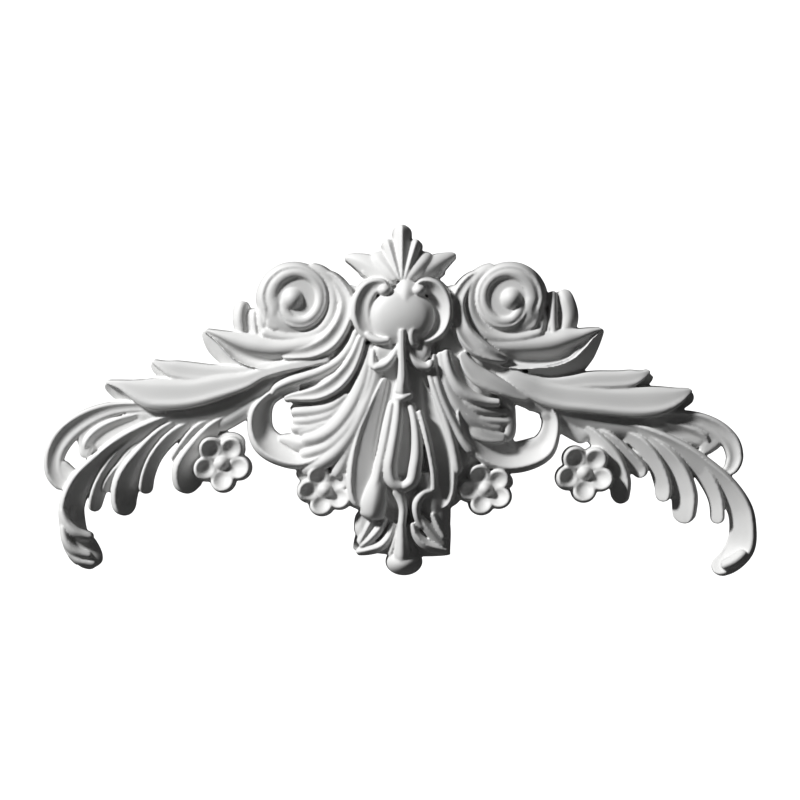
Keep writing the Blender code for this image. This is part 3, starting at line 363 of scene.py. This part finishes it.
# C-shaped scroll round the opening on each side of the body: a hollow band with a raised outer rim.
# The opening goes right through the casting, and the ends of the ribs look into it from the middle.
BOWL = (0.30, 0.0, 0.45, 0.78, 0.95, 1.0, 1.1)
lobe("scroll bed", [(-123, -38, 2.5, 22), (-114, -40, 5.5, 27), (-100, -43, 8.5, 33.5),
                    (-82, -37, 8, 39)], LOW, LEFT)
lobe("scroll foot", [(-72, -68, 8, 30), (-94, -73, 8, 26), (-106, -74, 6, 20)], FLAT)
lobe("scroll", [(-102, 14, 4, 35), (-118, 10, 5, 32), (-133, 1, 6, 30), (-141.5, -13, 10.5, 28),
                (-142, -29, 12, 28), (-135.5, -42, 13.5, 30), (-121, -51, 13.5, 33),
                (-100, -55, 12.5, 37), (-80, -46, 10, 41), (-64, -24, 8, 45),
                (-52, 2, 5, 47)], BOWL, LEFT)
lobe("scroll", [(112, 8, 4, 34), (128, 3, 5, 31), (142, -6, 6, 29), (149, -19, 8, 28),
                (148, -34, 9.5, 28), (140, -48, 13, 30), (121, -56, 14.5, 33), (101, -58, 13, 37),
                (80, -50, 10, 41), (66, -32, 8, 44), (58, -8, 5, 46)], BOWL, RIGHT)
lobe("scroll finger", [(-72, -22, 5, 42), (-90, -27, 5, 37), (-104, -28, 6, 33),
                       (-111, -28, 6, 30)], ROUND, LEFT)
lobe("scroll curl", [(-80, 2, 5, 30), (-93, 0, 4.5, 24), (-103, -4, 3.5, 19),
                     (-111, -11, 3, 15)], ROUND, LEFT)
lobe("wall of the opening", [(97, 4, 7, 30), (105, -5, 6.5, 29), (106, -18, 7, 29), (106, -30, 7, 29),
                             (102, -40, 8, 29)], LOW, RIGHT)
lobe("scroll crook", [(110, 8, 5, 29), (124, 1, 6, 27), (136, -8, 6, 26)], FLAT, RIGHT)

# Arms: a stem under the leaves, a hook turned back over it, and a long curled leaf with its fingers.
# They are the thinnest part of the casting, and the light comes through between the fingers.
FRAME = (0.25, 0.0, 0.26, 0.40, 0.44, 0.34, 0.55)
BLADE = (0.30, 0.0, 0.30, 0.56, 0.82, 1.06, 1.32)
lobe("stem", [(-84, 34, 6, 32), (-110, 27, 8, 29), (-134, 15, 9, 26), (-156, 1, 10, 22.5),
              (-184, -11, 11, 20), (-212, -16, 11, 19), (-240, -17, 11, 18),
              (-267, -14, 9, 17)], LOW, LEFT)
lobe("stem", [(106, 6, 5, 32), (138, -4, 8, 27), (164, -13, 9, 24), (190, -21, 10, 21),
              (216, -26, 10, 19.5), (243, -28, 10, 18.5), (268, -26, 9, 17)], LOW, RIGHT)
lobe("stem root", [(-140, 2, 7, 25), (-158, -9, 9, 21), (-174, -19, 9, 18), (-188, -26, 9, 18)], LOW)
lobe("web behind the fingers", [(-237, -17, 9, 15), (-267, -25, 9, 14), (-294, -36, 9, 13),
                                (-312, -44, 8, 12)], FLAT, LEFT)
lobe("web behind the fingers", [(238, -25, 9, 15), (263, -30, 9, 14), (288, -36, 9, 13),
                                (306, -41, 8, 12)], FLAT, RIGHT)
lobe("web behind the hook", [(-284, -14, 7, 13), (-304, -22, 9, 13), (-317, -33, 9, 12),
                             (-317, -47, 7, 12), (-319, -58, 5, 12)], FLAT, LEFT)
lobe("web behind the hook", [(284, -22, 7, 13), (300, -29, 9, 13), (313, -39, 9, 12),
                             (307, -46, 8, 12), (300, -52, 6, 12)], FLAT, RIGHT)
lobe("hook", [(-237, -8, 5, 20), (-267, -7, 5, 18.5), (-294, -10, 7, 18), (-320, -21, 9.5, 17.5),
              (-340, -38, 10.5, 17), (-349, -57, 9.5, 16), (-348, -74, 9, 15),
              (-338, -89, 6, 12)], FRAME, LEFT)
lobe("hook heel", [(-342, -62, 4, 12), (-335, -73, 7, 12), (-328, -80, 6, 12)], FLAT, LEFT)
lobe("inner hook leaf", [(-252, -15, 5, 16), (-280, -23, 7, 18), (-298, -32, 9, 18),
                         (-309, -42, 9.5, 17), (-316, -53, 7, 13)], BLADE, LEFT)
lobe("long curled leaf", [(-217, -14, 5, 16), (-250, -27, 7, 23), (-280, -43, 8, 26),
                          (-304, -63, 9.5, 26), (-322, -83, 11.5, 25), (-331, -105, 12, 24),
                          (-330.5, -124, 12.5, 22), (-327, -138, 12, 20),
                          (-322, -148, 8, 16)], BLADE, LEFT)
lobe("end of the curl", [(-328, -135, 11, 17), (-322, -148, 16, 13), (-314, -159, 14, 12),
                         (-311, -169, 9, 11)], LOW, LEFT, 0.6)
lobe("upper fold of the curl", [(-340.5, -108, 3, 24), (-336, -122, 5, 25), (-326, -133, 5.5, 24),
                                (-310, -138.5, 4, 17)], ROUND, LEFT)
lobe("lower fold of the curl", [(-339.5, -125, 3, 23), (-336, -141, 4.5, 24), (-327, -151.5, 5, 22),
                                (-311, -157, 4, 16)], ROUND, LEFT)
lobe("underside of the curl", [(-334, -152, 3, 17), (-323, -160.5, 4.5, 18),
                               (-307, -165, 4.5, 15)], ROUND, LEFT)
lobe("curl side", [(-335, -100, 7, 18), (-335, -118, 7, 17), (-334.5, -134, 7, 16),
                   (-332, -147, 7, 15), (-325, -156.5, 7, 14), (-315, -162.5, 7, 13),
                   (-307, -162, 7, 12)], FLAT, LEFT)
lobe("first finger", [(-244, -26, 4, 14), (-262, -36, 5, 20), (-280, -52, 6, 21), (-294, -70, 6.5, 20),
                      (-303, -88, 7, 18), (-308, -105, 6.5, 15), (-308, -112, 5, 12)], BLADE, LEFT)
lobe("short finger", [(-252, -38, 4, 14), (-267, -50, 5, 18), (-281, -67, 5, 18), (-293, -82, 5, 16),
                      (-298, -92, 4, 14)], BLADE, LEFT)
lobe("second finger", [(-218, -20, 5, 14), (-240, -34, 7, 21), (-259, -55, 10, 23),
                       (-274, -78, 13, 21), (-279, -98, 13, 18), (-277, -116, 10, 14)], BLADE, LEFT)
lobe("third finger", [(-206, -22, 5, 14), (-229, -36, 6, 21), (-246, -55, 6, 21),
                      (-254.5, -74, 6.5, 18), (-258, -94, 7, 15)], BLADE, LEFT)
lobe("fourth finger", [(-180, -18, 4, 14), (-202, -29, 6, 20), (-217, -46, 6.5, 20),
                       (-229, -62, 5, 17)], BLADE, LEFT)
lobe("fourth finger", [(184, -28, 4, 14), (206, -38, 6, 21), (224, -54, 7, 20), (238, -70, 8, 17),
                       (240, -78, 6, 15)], BLADE, RIGHT)
lobe("fifth finger", [(-168, -14, 4, 15), (-190, -30, 7, 22), (-206, -51, 11, 23), (-215, -70, 15, 21),
                      (-215, -85, 14, 17), (-214, -94, 10, 14)], BLADE, LEFT)
lobe("fifth finger", [(170, -20, 4, 15), (193, -38, 7, 22), (209, -59, 11, 23), (218, -80, 11, 21),
                      (219, -96, 9, 17), (218, -104, 7, 14)], BLADE, RIGHT)

# Flower of five cupped petals under each arm, with a button in its middle.
# The petals lift outwards like a bowl, and the flower is cast with the fifth finger that it leans on.
CUP = (0.36, 0.35, 0.30, 0.20, 0.05, 0.0, 0.25)
PETALS = 5
PETAL_LIFT = 0.45       # rise of a petal for each millimetre away from the flower's middle


def flower(name, at, first, side, base, reach, petal, button):
    """Petals at even turns round a button: each stands at the middle plus the reach times its direction.

    The base, a petal and the button are each given by two radii and a height.
    """
    disc(name + " base", at, *base, PLATE, side)
    for i in range(PETALS):
        turn = np.radians(first + 360 / PETALS * i)
        out = np.array([np.cos(turn), np.sin(turn)])
        disc(name + " petal", at + reach * out, *petal, CUP, side, PETAL_LIFT * out)
    disc(name + " button", at, *button, BUTTON, side)


disc("leaf behind the flower", (-173, -43), 15, 10.5, 14, PLATE, LEFT)
for at, first, side in (((-180, -63), 56, LEFT), ((183, -73), 124, RIGHT)):
    flower("flower", at, first, side, (20, 20, 19), np.array([17, 17]), (12, 12, 27), (8, 8, 29))

# Smaller flower on each side of the body, half tucked under the scroll.
# It is of the same make as the flowers under the arms, and its inner petals run into the panels.
for at, side in (((-76.5, -90), LEFT), ((83.5, -89), RIGHT)):
    flower("small flower", at, 40, side, (21, 20, 28), np.array([16, 14.5]), (11.5, 11, 35), (8, 8, 38))

# End of the right arm: the same leaves and fingers as on the left, but opened wider and turned to the light.
# It is cast with the right stem, and its fingers are parted further than those on the left.
lobe("hook", [(238, -20, 5, 20), (265, -16, 5, 18.5), (292, -19, 7, 18), (314, -28, 8.5, 17.5),
              (329, -41, 8.5, 17), (334, -56, 8, 16), (331, -67, 7, 15),
              (324, -74, 4, 12)], FRAME, RIGHT)
lobe("inner hook leaf", [(250, -24, 5, 16), (276, -30, 8, 18), (294, -38, 10, 17),
                         (307, -45, 8, 15)], BLADE, RIGHT)
lobe("long curled leaf", [(213, -24, 5, 16), (246, -35, 8, 24), (278, -50, 9, 26), (303, -68, 10, 26),
                          (325, -88, 11, 25), (339, -110, 12, 24), (342, -132, 13, 22),
                          (339, -148, 14, 20), (328, -162, 12, 16), (312, -171, 8, 13)], BLADE, RIGHT)
lobe("upper fold of the curl", [(344, -152, 6, 25), (333, -161, 6, 25),
                                (320, -167, 5, 21)], ROUND, RIGHT)
lobe("first finger", [(262, -40, 4, 15), (287, -57, 7, 21), (305, -78, 8, 21), (315, -100, 7, 18),
                      (317, -124, 6.5, 15)], BLADE, RIGHT)
lobe("second finger", [(230, -30, 5, 15), (255, -47, 8, 22), (273, -69, 12, 22), (283, -94, 13, 20),
                       (283.5, -114, 11.5, 16), (284, -124, 9, 13)], BLADE, RIGHT)
lobe("third finger", [(214, -30, 4, 14), (238, -44, 7, 21), (254, -64, 7.5, 20), (262, -86, 8, 17),
                      (262, -102, 7, 14)], BLADE, RIGHT)

# Cartouche: a round shield with a tongue that rises into the crest, held by a split frame.
# It is the highest part of the casting, smooth and crowned, and the frame's ends curl in over it.
disc("shield", (-1, 83), 31, 28, 60, (0.0, 0.02, 0.07, 0.17, 0.40))
lobe("tongue", [(1, 86, 12, 58.5), (3, 100, 11, 57.5), (4.5, 111, 10, 54.5),
                (4.5, 119, 8, 49)], LOW, MIDDLE, 0.5)
lobe("frame", [(-14, 111, 4, 53), (-22, 114, 6.5, 54), (-32, 110, 9, 54), (-39, 98, 10, 54),
               (-40, 84, 10, 53), (-36, 72, 9, 52), (-27, 64, 7, 51), (-18, 61, 5, 50)], FRAME, LEFT)
lobe("frame", [(14, 111, 4, 53), (22, 114, 6.5, 54), (32, 110, 9, 54), (39, 98, 10, 54),
               (40, 84, 10, 53), (36, 72, 9, 52), (27, 64, 7, 51), (18, 61, 5, 50)], BOWL, RIGHT)
disc("upper ear of the frame", (-17, 109), 6.5, 5.5, 58)
lobe("lower curl of the frame", [(-36, 67, 2.5, 53), (-30, 61.5, 3.5, 56), (-21, 58.5, 3.5, 57.5),
                                 (-12, 59, 3, 56)], ROUND, LEFT)
lobe("lower curl of the frame", [(17, 72, 3.5, 56), (10.5, 70, 4.5, 58.5), (9, 63, 4.8, 58.5),
                                 (11, 56.5, 4.5, 57), (17, 55, 3, 54)], ROUND, RIGHT)

# Crest: a fan of ribs that springs from the top of the shield, between two pointed leaves.
# It is cast with the body, and thin at its tips.
RIDGE = (0.95, 0.60, 0.28, 0.0, 0.28, 0.60, 0.95)
FAN_FOOT, FAN_TOP = 119, 47     # the fan springs from this far up the body, and stands this high there
FAN_GAP = 8                     # how far the foot of a rib that leans right over stands aside

# A rib is given by its lean in degrees, its length, its half width and the height of its tip. It swells
# from 0.4 to 0.9 of that half width, and its crest falls with the power 1.5 of the way.
for lean, reach, half, tip, section in (
        (0, 56, 9, 38, RIDGE), (17, 43, 6.5, 37, RIDGE), (41, 36, 9, 33, LOW)):
    aside, up = np.sin(np.radians(lean)), np.cos(np.radians(lean))
    rib = []
    for t in (0, 0.35, 0.7, 1):
        rib.append((-aside * (FAN_GAP + reach * t), FAN_FOOT + up * reach * t,
                    half * (0.4 + 0.75 * t - 0.25 * t ** 4), FAN_TOP - (FAN_TOP - tip) * t ** 1.5))
    lobe("crest rib", rib, section, BOTH if lean else MIDDLE)
lobe("crest leaf", [(-6, 116, 5, 43), (-21, 127, 10, 39), (-35, 135, 10, 34), (-48, 140.5, 6, 28),
                    (-57, 143, 2.5, 22)], LOW, LEFT)
lobe("crest leaf", [(6, 116, 5, 43), (21, 127, 10, 39), (35, 136, 9.5, 34), (46, 142, 5.5, 28),
                    (54, 145.5, 2, 22)], LOW, RIGHT)
disc("crest base", (0, 128), 40, 11, 33, PLATE)

# Pendant: a rod that hangs from the shield, two short swags, hollow panels and the long open drop.
# All of it is cast with the body, in high relief over the ribs.
PANEL = (0.30, 0.0, 0.20, 0.26, 0.315, 0.37, 0.43, 0.56, 0.95)
lobe("rod", [(0, 70, 3.5, 61), (0, 50, 3.2, 61), (0.5, 32, 4, 61), (0.5, 18, 5.2, 60.5),
             (0, 6, 7, 58)], ROUND, MIDDLE, 0.35)
lobe("rod foot", [(-7.5, 1, 3, 54), (1, 2.5, 4.2, 58.5), (10, 6, 3, 55.5)], ROUND, MIDDLE)
lobe("swag arm", [(-4, 54, 2.5, 55), (-9, 43, 3.5, 56), (-17, 35, 4.5, 56), (-29, 31.5, 4, 55)], ROUND)
lobe("swag end", [(-28.5, 31, 3.5, 54), (-29, 40, 3, 52), (-28.5, 51, 2, 50)], ROUND, LEFT)
lobe("swag end", [(28.5, 32, 4.5, 55.5), (28, 40, 4, 54.5)], ROUND, RIGHT)
lobe("swag cloth", [(-17, 58, 11, 51), (-18, 38, 11, 51)], FLAT)
lobe("panel", [(-16, 22, 3, 49), (-22, 5, 6, 50.5), (-28, -14, 9, 50), (-34, -34, 12, 49),
               (-38, -55, 14, 48), (-40, -75, 14.5, 47), (-40, -92, 13.5, 45),
               (-36, -108, 10, 42)], PANEL, LEFT)
lobe("panel", [(17, 20, 3, 43), (23, 5, 6, 43.5), (29, -14, 9, 43.5), (35, -34, 12, 44),
               (39, -55, 14, 44.5), (40.5, -75, 14.5, 45), (40, -92, 13.5, 43.5),
               (36, -108, 10, 41)], PANEL, RIGHT)
lobe("thin rib", [(-10, -2, 2.5, 54), (-13, -20, 3.5, 55), (-16.5, -40, 4.5, 54.5),
                  (-21, -62, 5, 52.5), (-25, -82, 6, 50), (-29, -96, 8, 48)], ROUND, LEFT)
lobe("thin rib", [(17, -10, 2, 55), (21.5, -26, 2.6, 57), (25.5, -43, 2.8, 57), (29, -60, 2.8, 55.5),
                  (31.5, -77, 2.8, 53), (32, -90, 2.5, 49)], ROUND, RIGHT)
lobe("rim of the drop", [(-4, 12, 3, 50), (-4, -2, 4, 55.5), (-4.5, -16, 4.8, 57.5),
                         (-6.5, -32, 5.5, 58), (-9.5, -50, 6, 58), (-12, -67, 6.5, 57),
                         (-9, -81, 6.2, 55), (1.5, -88, 5, 53)], ROUND, LEFT)
lobe("rim of the drop", [(7, -2, 3, 52), (11, -14, 3.5, 56), (14, -31, 4.5, 58), (15, -50, 5.8, 58),
                         (13, -67, 6.3, 57), (9.5, -81, 6.2, 55), (-1.5, -88, 5, 53)], ROUND, RIGHT)
lobe("flare", [(-20, -70, 5, 49), (-24.5, -86, 9, 49.5), (-27.5, -101, 12, 49), (-29.5, -113, 12, 46),
               (-30.5, -119, 11, 42)], LOW, LEFT, 0.4)
lobe("flare", [(22, -72, 5, 48), (26, -88, 9, 46), (30, -102, 12, 43),
               (31, -117, 12, 38)], LOW, RIGHT, 0.5)
lobe("curl on the flare", [(31, -90.5, 4, 47), (21, -93, 4.5, 49.5), (14.5, -103, 4, 49),
                           (15, -116, 3.5, 46), (21, -128, 3, 40)], ROUND, RIGHT)
lobe("floor of the drop", [(0, 2, 8, 50), (0, -25, 10, 46), (0, -50, 12, 44),
                           (0, -76, 12, 44)], FLAT, MIDDLE)

# Foot: the square lower end of the casting, with a stem that ends in a bulb and leaves folded beside it.
# It is thin below, where the ornament ends on the surface that it is glued to.
lobe("foot plate", [(1, -105, 44, 22), (2.5, -130, 46.5, 22), (0, -149, 49, 19),
                    (-0.5, -156, 49, 17)], FLAT, MIDDLE, 0.08)
lobe("foot bed", [(-31, -108, 13, 30), (-33, -126, 14, 28), (-32, -142, 14, 25)], FLAT, LEFT)
lobe("foot bed", [(34, -100, 13, 40), (34, -120, 13, 37), (32, -142, 14, 32)], LOW, RIGHT, 0.6)
lobe("foot stem", [(-7, -88, 5, 50), (-2, -96, 5, 48), (1, -108, 4, 46), (0, -125, 4, 44),
                   (0, -145, 6, 42), (0, -162, 9, 39)], ROUND, MIDDLE)
disc("foot bulb", (2, -162), 17, 13, 38, BUTTON, MIDDLE)
lobe("outer foot leaf", [(-8, -122, 3.5, 35), (-12, -135, 4.5, 34), (-21, -145.5, 5, 32),
                         (-35, -150, 4.5, 29), (-46, -152, 3, 25)], RIDGE, LEFT)
lobe("outer foot leaf", [(10, -122, 3.5, 42), (14, -134, 5, 41), (23, -143.5, 5.5, 39),
                         (36, -148, 5, 35), (46, -150.5, 3, 30)], RIDGE, RIGHT)
lobe("middle foot leaf", [(-16, -117, 3, 35), (-23, -129, 4.5, 34), (-32, -139, 4.5, 31),
                          (-42, -147, 3, 27)], RIDGE, LEFT)
lobe("middle foot leaf", [(17, -115, 3.5, 44), (24, -126, 5, 42), (33, -136, 5, 38),
                          (43, -145, 3, 33)], RIDGE, RIGHT)
lobe("inner foot leaf", [(-28, -115, 3.5, 33), (-35, -129, 4.5, 31), (-43, -144, 3.5, 27)], RIDGE, LEFT)
lobe("inner foot leaf", [(30, -112, 3.5, 43), (36, -125, 4.5, 40), (43, -138, 3.5, 35)], RIDGE, RIGHT)
lobe("foot leaf by the stem", [(-5, -126, 3, 33), (-8, -142, 4, 32), (-12, -156, 4.5, 28)], RIDGE)


# The casting: all of the masses above, run together in the mould into one closed skin.
# The mould and the coat of primer round its inner corners a little, and its back is struck off flat.
# The grain is the grid, in metres, on which the masses run together.
GRAIN, EASE_ROUNDS = 0.0010, 4
MOST_TRIANGLES = 190000
BACK_FACING = 0.99              # a face whose normal has more than this much of +Y lies in the back
CUTTER = (1.0, 0.1, 0.6)        # block behind the back, in metres: wide, thick and tall


def skin_of_masses(name):
    """One mesh that holds every grid as a closed body with its faces outwards."""
    faces = np.concatenate(quads)
    cap_sizes = [len(ring) for ring in caps]
    corners = np.concatenate([faces.ravel()] + caps)
    starts = np.concatenate([np.arange(len(faces)) * 4, len(faces) * 4 + np.cumsum([0] + cap_sizes[:-1])])
    skin = bpy.data.meshes.new(name)
    skin.vertices.add(sum(len(grid) for grid in points))
    skin.vertices.foreach_set("co", np.concatenate(points).astype(np.float32).ravel())
    skin.loops.add(len(corners))
    skin.loops.foreach_set("vertex_index", corners.astype(np.int32))
    skin.polygons.add(len(starts))
    skin.polygons.foreach_set("loop_start", starts.astype(np.int32))
    skin.update(calc_edges=True)
    skin.validate()
    work = bmesh.new()
    work.from_mesh(skin)
    bmesh.ops.recalc_face_normals(work, faces=work.faces)
    work.to_mesh(skin)
    work.free()
    return skin


def settle(piece):
    """Put the result of a piece's modifiers into its mesh."""
    bpy.context.view_layer.update()
    old = piece.data
    result = bpy.data.meshes.new_from_object(piece.evaluated_get(bpy.context.evaluated_depsgraph_get()))
    piece.modifiers.clear()
    piece.data = result
    bpy.data.meshes.remove(old)
    result.name = piece.name


casting = bpy.data.objects.new("casting", skin_of_masses("masses"))
bpy.context.scene.collection.objects.link(casting)
fuse = casting.modifiers.new("fuse", "REMESH")
fuse.mode = "VOXEL"
fuse.voxel_size = GRAIN
ease = casting.modifiers.new("ease", "SMOOTH")
ease.factor = 0.5
ease.iterations = EASE_ROUNDS
settle(casting)

casting.data.calc_loop_triangles()
thin = casting.modifiers.new("thin", "DECIMATE")
thin.ratio = min(1.0, MOST_TRIANGLES / len(casting.data.loop_triangles))
thin.use_collapse_triangulate = True
bpy.ops.mesh.primitive_cube_add(size=1, location=(0, CUTTER[1] / 2, 0))
cutter = bpy.context.object
cutter.scale = CUTTER
flat_back = casting.modifiers.new("flat back", "BOOLEAN")
flat_back.operation = "DIFFERENCE"
flat_back.solver = "EXACT"
flat_back.object = cutter
settle(casting)
bpy.data.objects.remove(cutter, do_unlink=True)

# The primed skin is held inside the solid's own box
corner = np.empty(len(casting.data.vertices) * 3, np.float32)
casting.data.vertices.foreach_get("co", corner)
held = np.clip(corner.reshape(-1, 3), np.array(cad_box[0], np.float32), np.array(cad_box[1], np.float32))
casting.data.vertices.foreach_set("co", held.ravel())
casting.data.update()

# The relief is shaded smooth, and the flat back keeps a crisp edge all round
facing = np.empty(len(casting.data.polygons) * 3, np.float32)
casting.data.polygons.foreach_get("normal", facing)
casting.data.polygons.foreach_set("use_smooth", facing[1::3] < BACK_FACING)
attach(casting, "root")
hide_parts("applique")

# Finish of the casting: a thin matt coat of off-white primer, ready for paint.
# It is faintly clouded, a little lighter on pointed edges as wear, darker in its hollows as painted shade,
# and has the fine tooth of a sprayed coat.
DULL = (0.64, 0.64, 0.635, 1)
BRIGHT = (0.74, 0.74, 0.735, 1)
SHEEN = 0.25                    # how much of the light the coat throws back as a shine
CLOUDS, GRAINS = 9.0, 900.0     # clouds and grains of the coat in a metre
GRAIN_RELIEF, GRAIN_DEPTH = 0.12, 0.0004

# Places of the outputs of three nodes: object coordinates, pointed edges and a mixed colour
OBJECT_PLACE, POINTED, MIX_COLOUR = 3, 7, 2


class Shade:
    """A socket of a finish: sums, differences and products of sockets and numbers add their Math nodes."""

    def __init__(self, tree, socket=None):
        self.tree, self.socket = tree, socket

    def node(self, kind, settings=None, sockets=None, output=0):
        """Any other node: its settings first, then the values or links of its sockets."""
        made = self.tree.nodes.new(kind)
        for key, value in (settings or {}).items():
            setattr(made, key, value)
        for key, value in (sockets or {}).items():
            if isinstance(value, Shade):
                self.tree.links.new(value.socket, made.inputs[key])
            else:
                made.inputs[key].default_value = value
        return Shade(self.tree, made.outputs[output] if made.outputs else None)

    def math(self, operation, first, second):
        """One sum, difference or product of two sockets or numbers."""
        return self.node("ShaderNodeMath", {"operation": operation}, {0: first, 1: second})

    def __add__(self, other):
        return self.math("ADD", self, other)

    def __radd__(self, other):
        return self.math("ADD", other, self)

    def __sub__(self, other):
        return self.math("SUBTRACT", self, other)

    def __rsub__(self, other):
        return self.math("SUBTRACT", other, self)

    def __mul__(self, other):
        return self.math("MULTIPLY", self, other)

    def __rmul__(self, other):
        return self.math("MULTIPLY", other, self)

    def feed(self, socket):
        """Join this socket to one of the finish's own."""
        self.tree.links.new(self.socket, socket)


primer = bpy.data.materials.new("off-white primer")
primer.use_nodes = True
coat = primer.node_tree.nodes["Principled BSDF"]
coat.inputs["Specular IOR Level"].default_value = SHEEN
finish = Shade(primer.node_tree)
place = finish.node("ShaderNodeTexCoord", output=OBJECT_PLACE)
cloud = finish.node("ShaderNodeTexNoise", {}, {"Vector": place, "Scale": CLOUDS, "Detail": 4.0})
tooth = finish.node("ShaderNodeTexNoise", {}, {"Vector": place, "Scale": GRAINS, "Detail": 3.0})
edge = finish.node("ShaderNodeNewGeometry", output=POINTED)

# Share of the brighter tone: it grows with the clouds and on pointed edges (wear), and falls in hollows
# (painted shade)
wear_and_painted_shade = 0.6 * cloud + 0.8 * edge - 0.2
tint = finish.node("ShaderNodeMix", {"data_type": "RGBA"}, {0: wear_and_painted_shade, 6: DULL, 7: BRIGHT}, MIX_COLOUR)
tint.feed(coat.inputs["Base Color"])
(0.5 + 0.15 * tooth).feed(coat.inputs["Roughness"])
relief = finish.node("ShaderNodeBump", {}, {"Strength": GRAIN_RELIEF, "Distance": GRAIN_DEPTH,
                                            "Height": tooth})
relief.feed(coat.inputs["Normal"])
casting.data.materials.clear()
casting.data.materials.append(primer)

# Floor: a plain pale sheet well below the ornament, out of the picture.
# It gives no light back to the relief, so the shadows between the leaves stay as deep as they are.
FLOOR_PLACE, FLOOR_SIZE = (0, -0.5, -0.7), (3.0, 1.9, 1.0)
PALE = (0.8, 0.8, 0.8, 1)
bpy.ops.mesh.primitive_plane_add(size=1, location=FLOOR_PLACE)
floor = bpy.context.object
floor.name = "pale floor"
floor.scale = FLOOR_SIZE
bpy.ops.object.transform_apply(location=False, rotation=False, scale=True)
pale = bpy.data.materials.new("pale floor")
pale.use_nodes = True
pale.node_tree.nodes["Principled BSDF"].inputs["Base Color"].default_value = PALE
floor.data.materials.append(pale)
floor.visible_diffuse = False

# Light: one soft lamp on the upper left, as in the photograph, and a white room.
# The room is bright only where it is looked at, and fills the shadows very little.
LAMP_PLACE = (-3.6, -2.5, 3.0)
LAMP_WIDTH, LAMP_POWER = 0.85, 338
ROOM_FILL, ROOM_SEEN = 0.045, 1.0       # brightness of the room as a fill, and where it is looked at
WHITE = (1, 1, 1, 1)
lamp = bpy.data.lights.new("key lamp", "AREA")
lamp.shape = "DISK"
lamp.size = LAMP_WIDTH
lamp.energy = LAMP_POWER
lamp_stand = bpy.data.objects.new("key lamp", lamp)
lamp_stand.location = LAMP_PLACE
lamp_stand.rotation_euler = (-lamp_stand.location).to_track_quat("-Z", "Y").to_euler()
bpy.context.scene.collection.objects.link(lamp_stand)

room = bpy.data.worlds.new("white room")
bpy.context.scene.world = room
room.use_nodes = True
room.node_tree.nodes.clear()
air = Shade(room.node_tree)
looked_at = air.node("ShaderNodeLightPath")
fill = air.node("ShaderNodeBackground", {}, {"Color": WHITE, "Strength": ROOM_FILL})
white = air.node("ShaderNodeBackground", {}, {"Color": WHITE, "Strength": ROOM_SEEN})
both = air.node("ShaderNodeMixShader", {}, {0: looked_at, 1: fill, 2: white})
air.node("ShaderNodeOutputWorld", {}, {"Surface": both})
bpy.context.scene.view_settings.view_transform = "Standard"
bpy.context.scene.view_settings.look = "Medium High Contrast"

# Camera: straight in front of the ornament, with a long lens, at its own height.
# At this distance 800 mm of the ornament's plane fills the picture from side to side.
DISTANCE = 4.0
PICTURE_WIDTH = 0.8
PICTURE_MIDDLE = -0.002     # the picture's middle lies this far to the left of the ornament's origin
PICTURE_PLANE = 0.02        # and the distance is measured from this far in front of the back
SENSOR = 36
camera_lens = bpy.data.cameras.new("camera")
camera_lens.sensor_width = SENSOR
camera_lens.lens = SENSOR * DISTANCE / PICTURE_WIDTH
camera = bpy.data.objects.new("camera", camera_lens)
camera.location = (PICTURE_MIDDLE, -DISTANCE - PICTURE_PLANE, 0.0)
camera.rotation_euler = (np.pi / 2, 0, 0)
bpy.context.scene.collection.objects.link(camera)
bpy.context.scene.camera = camera
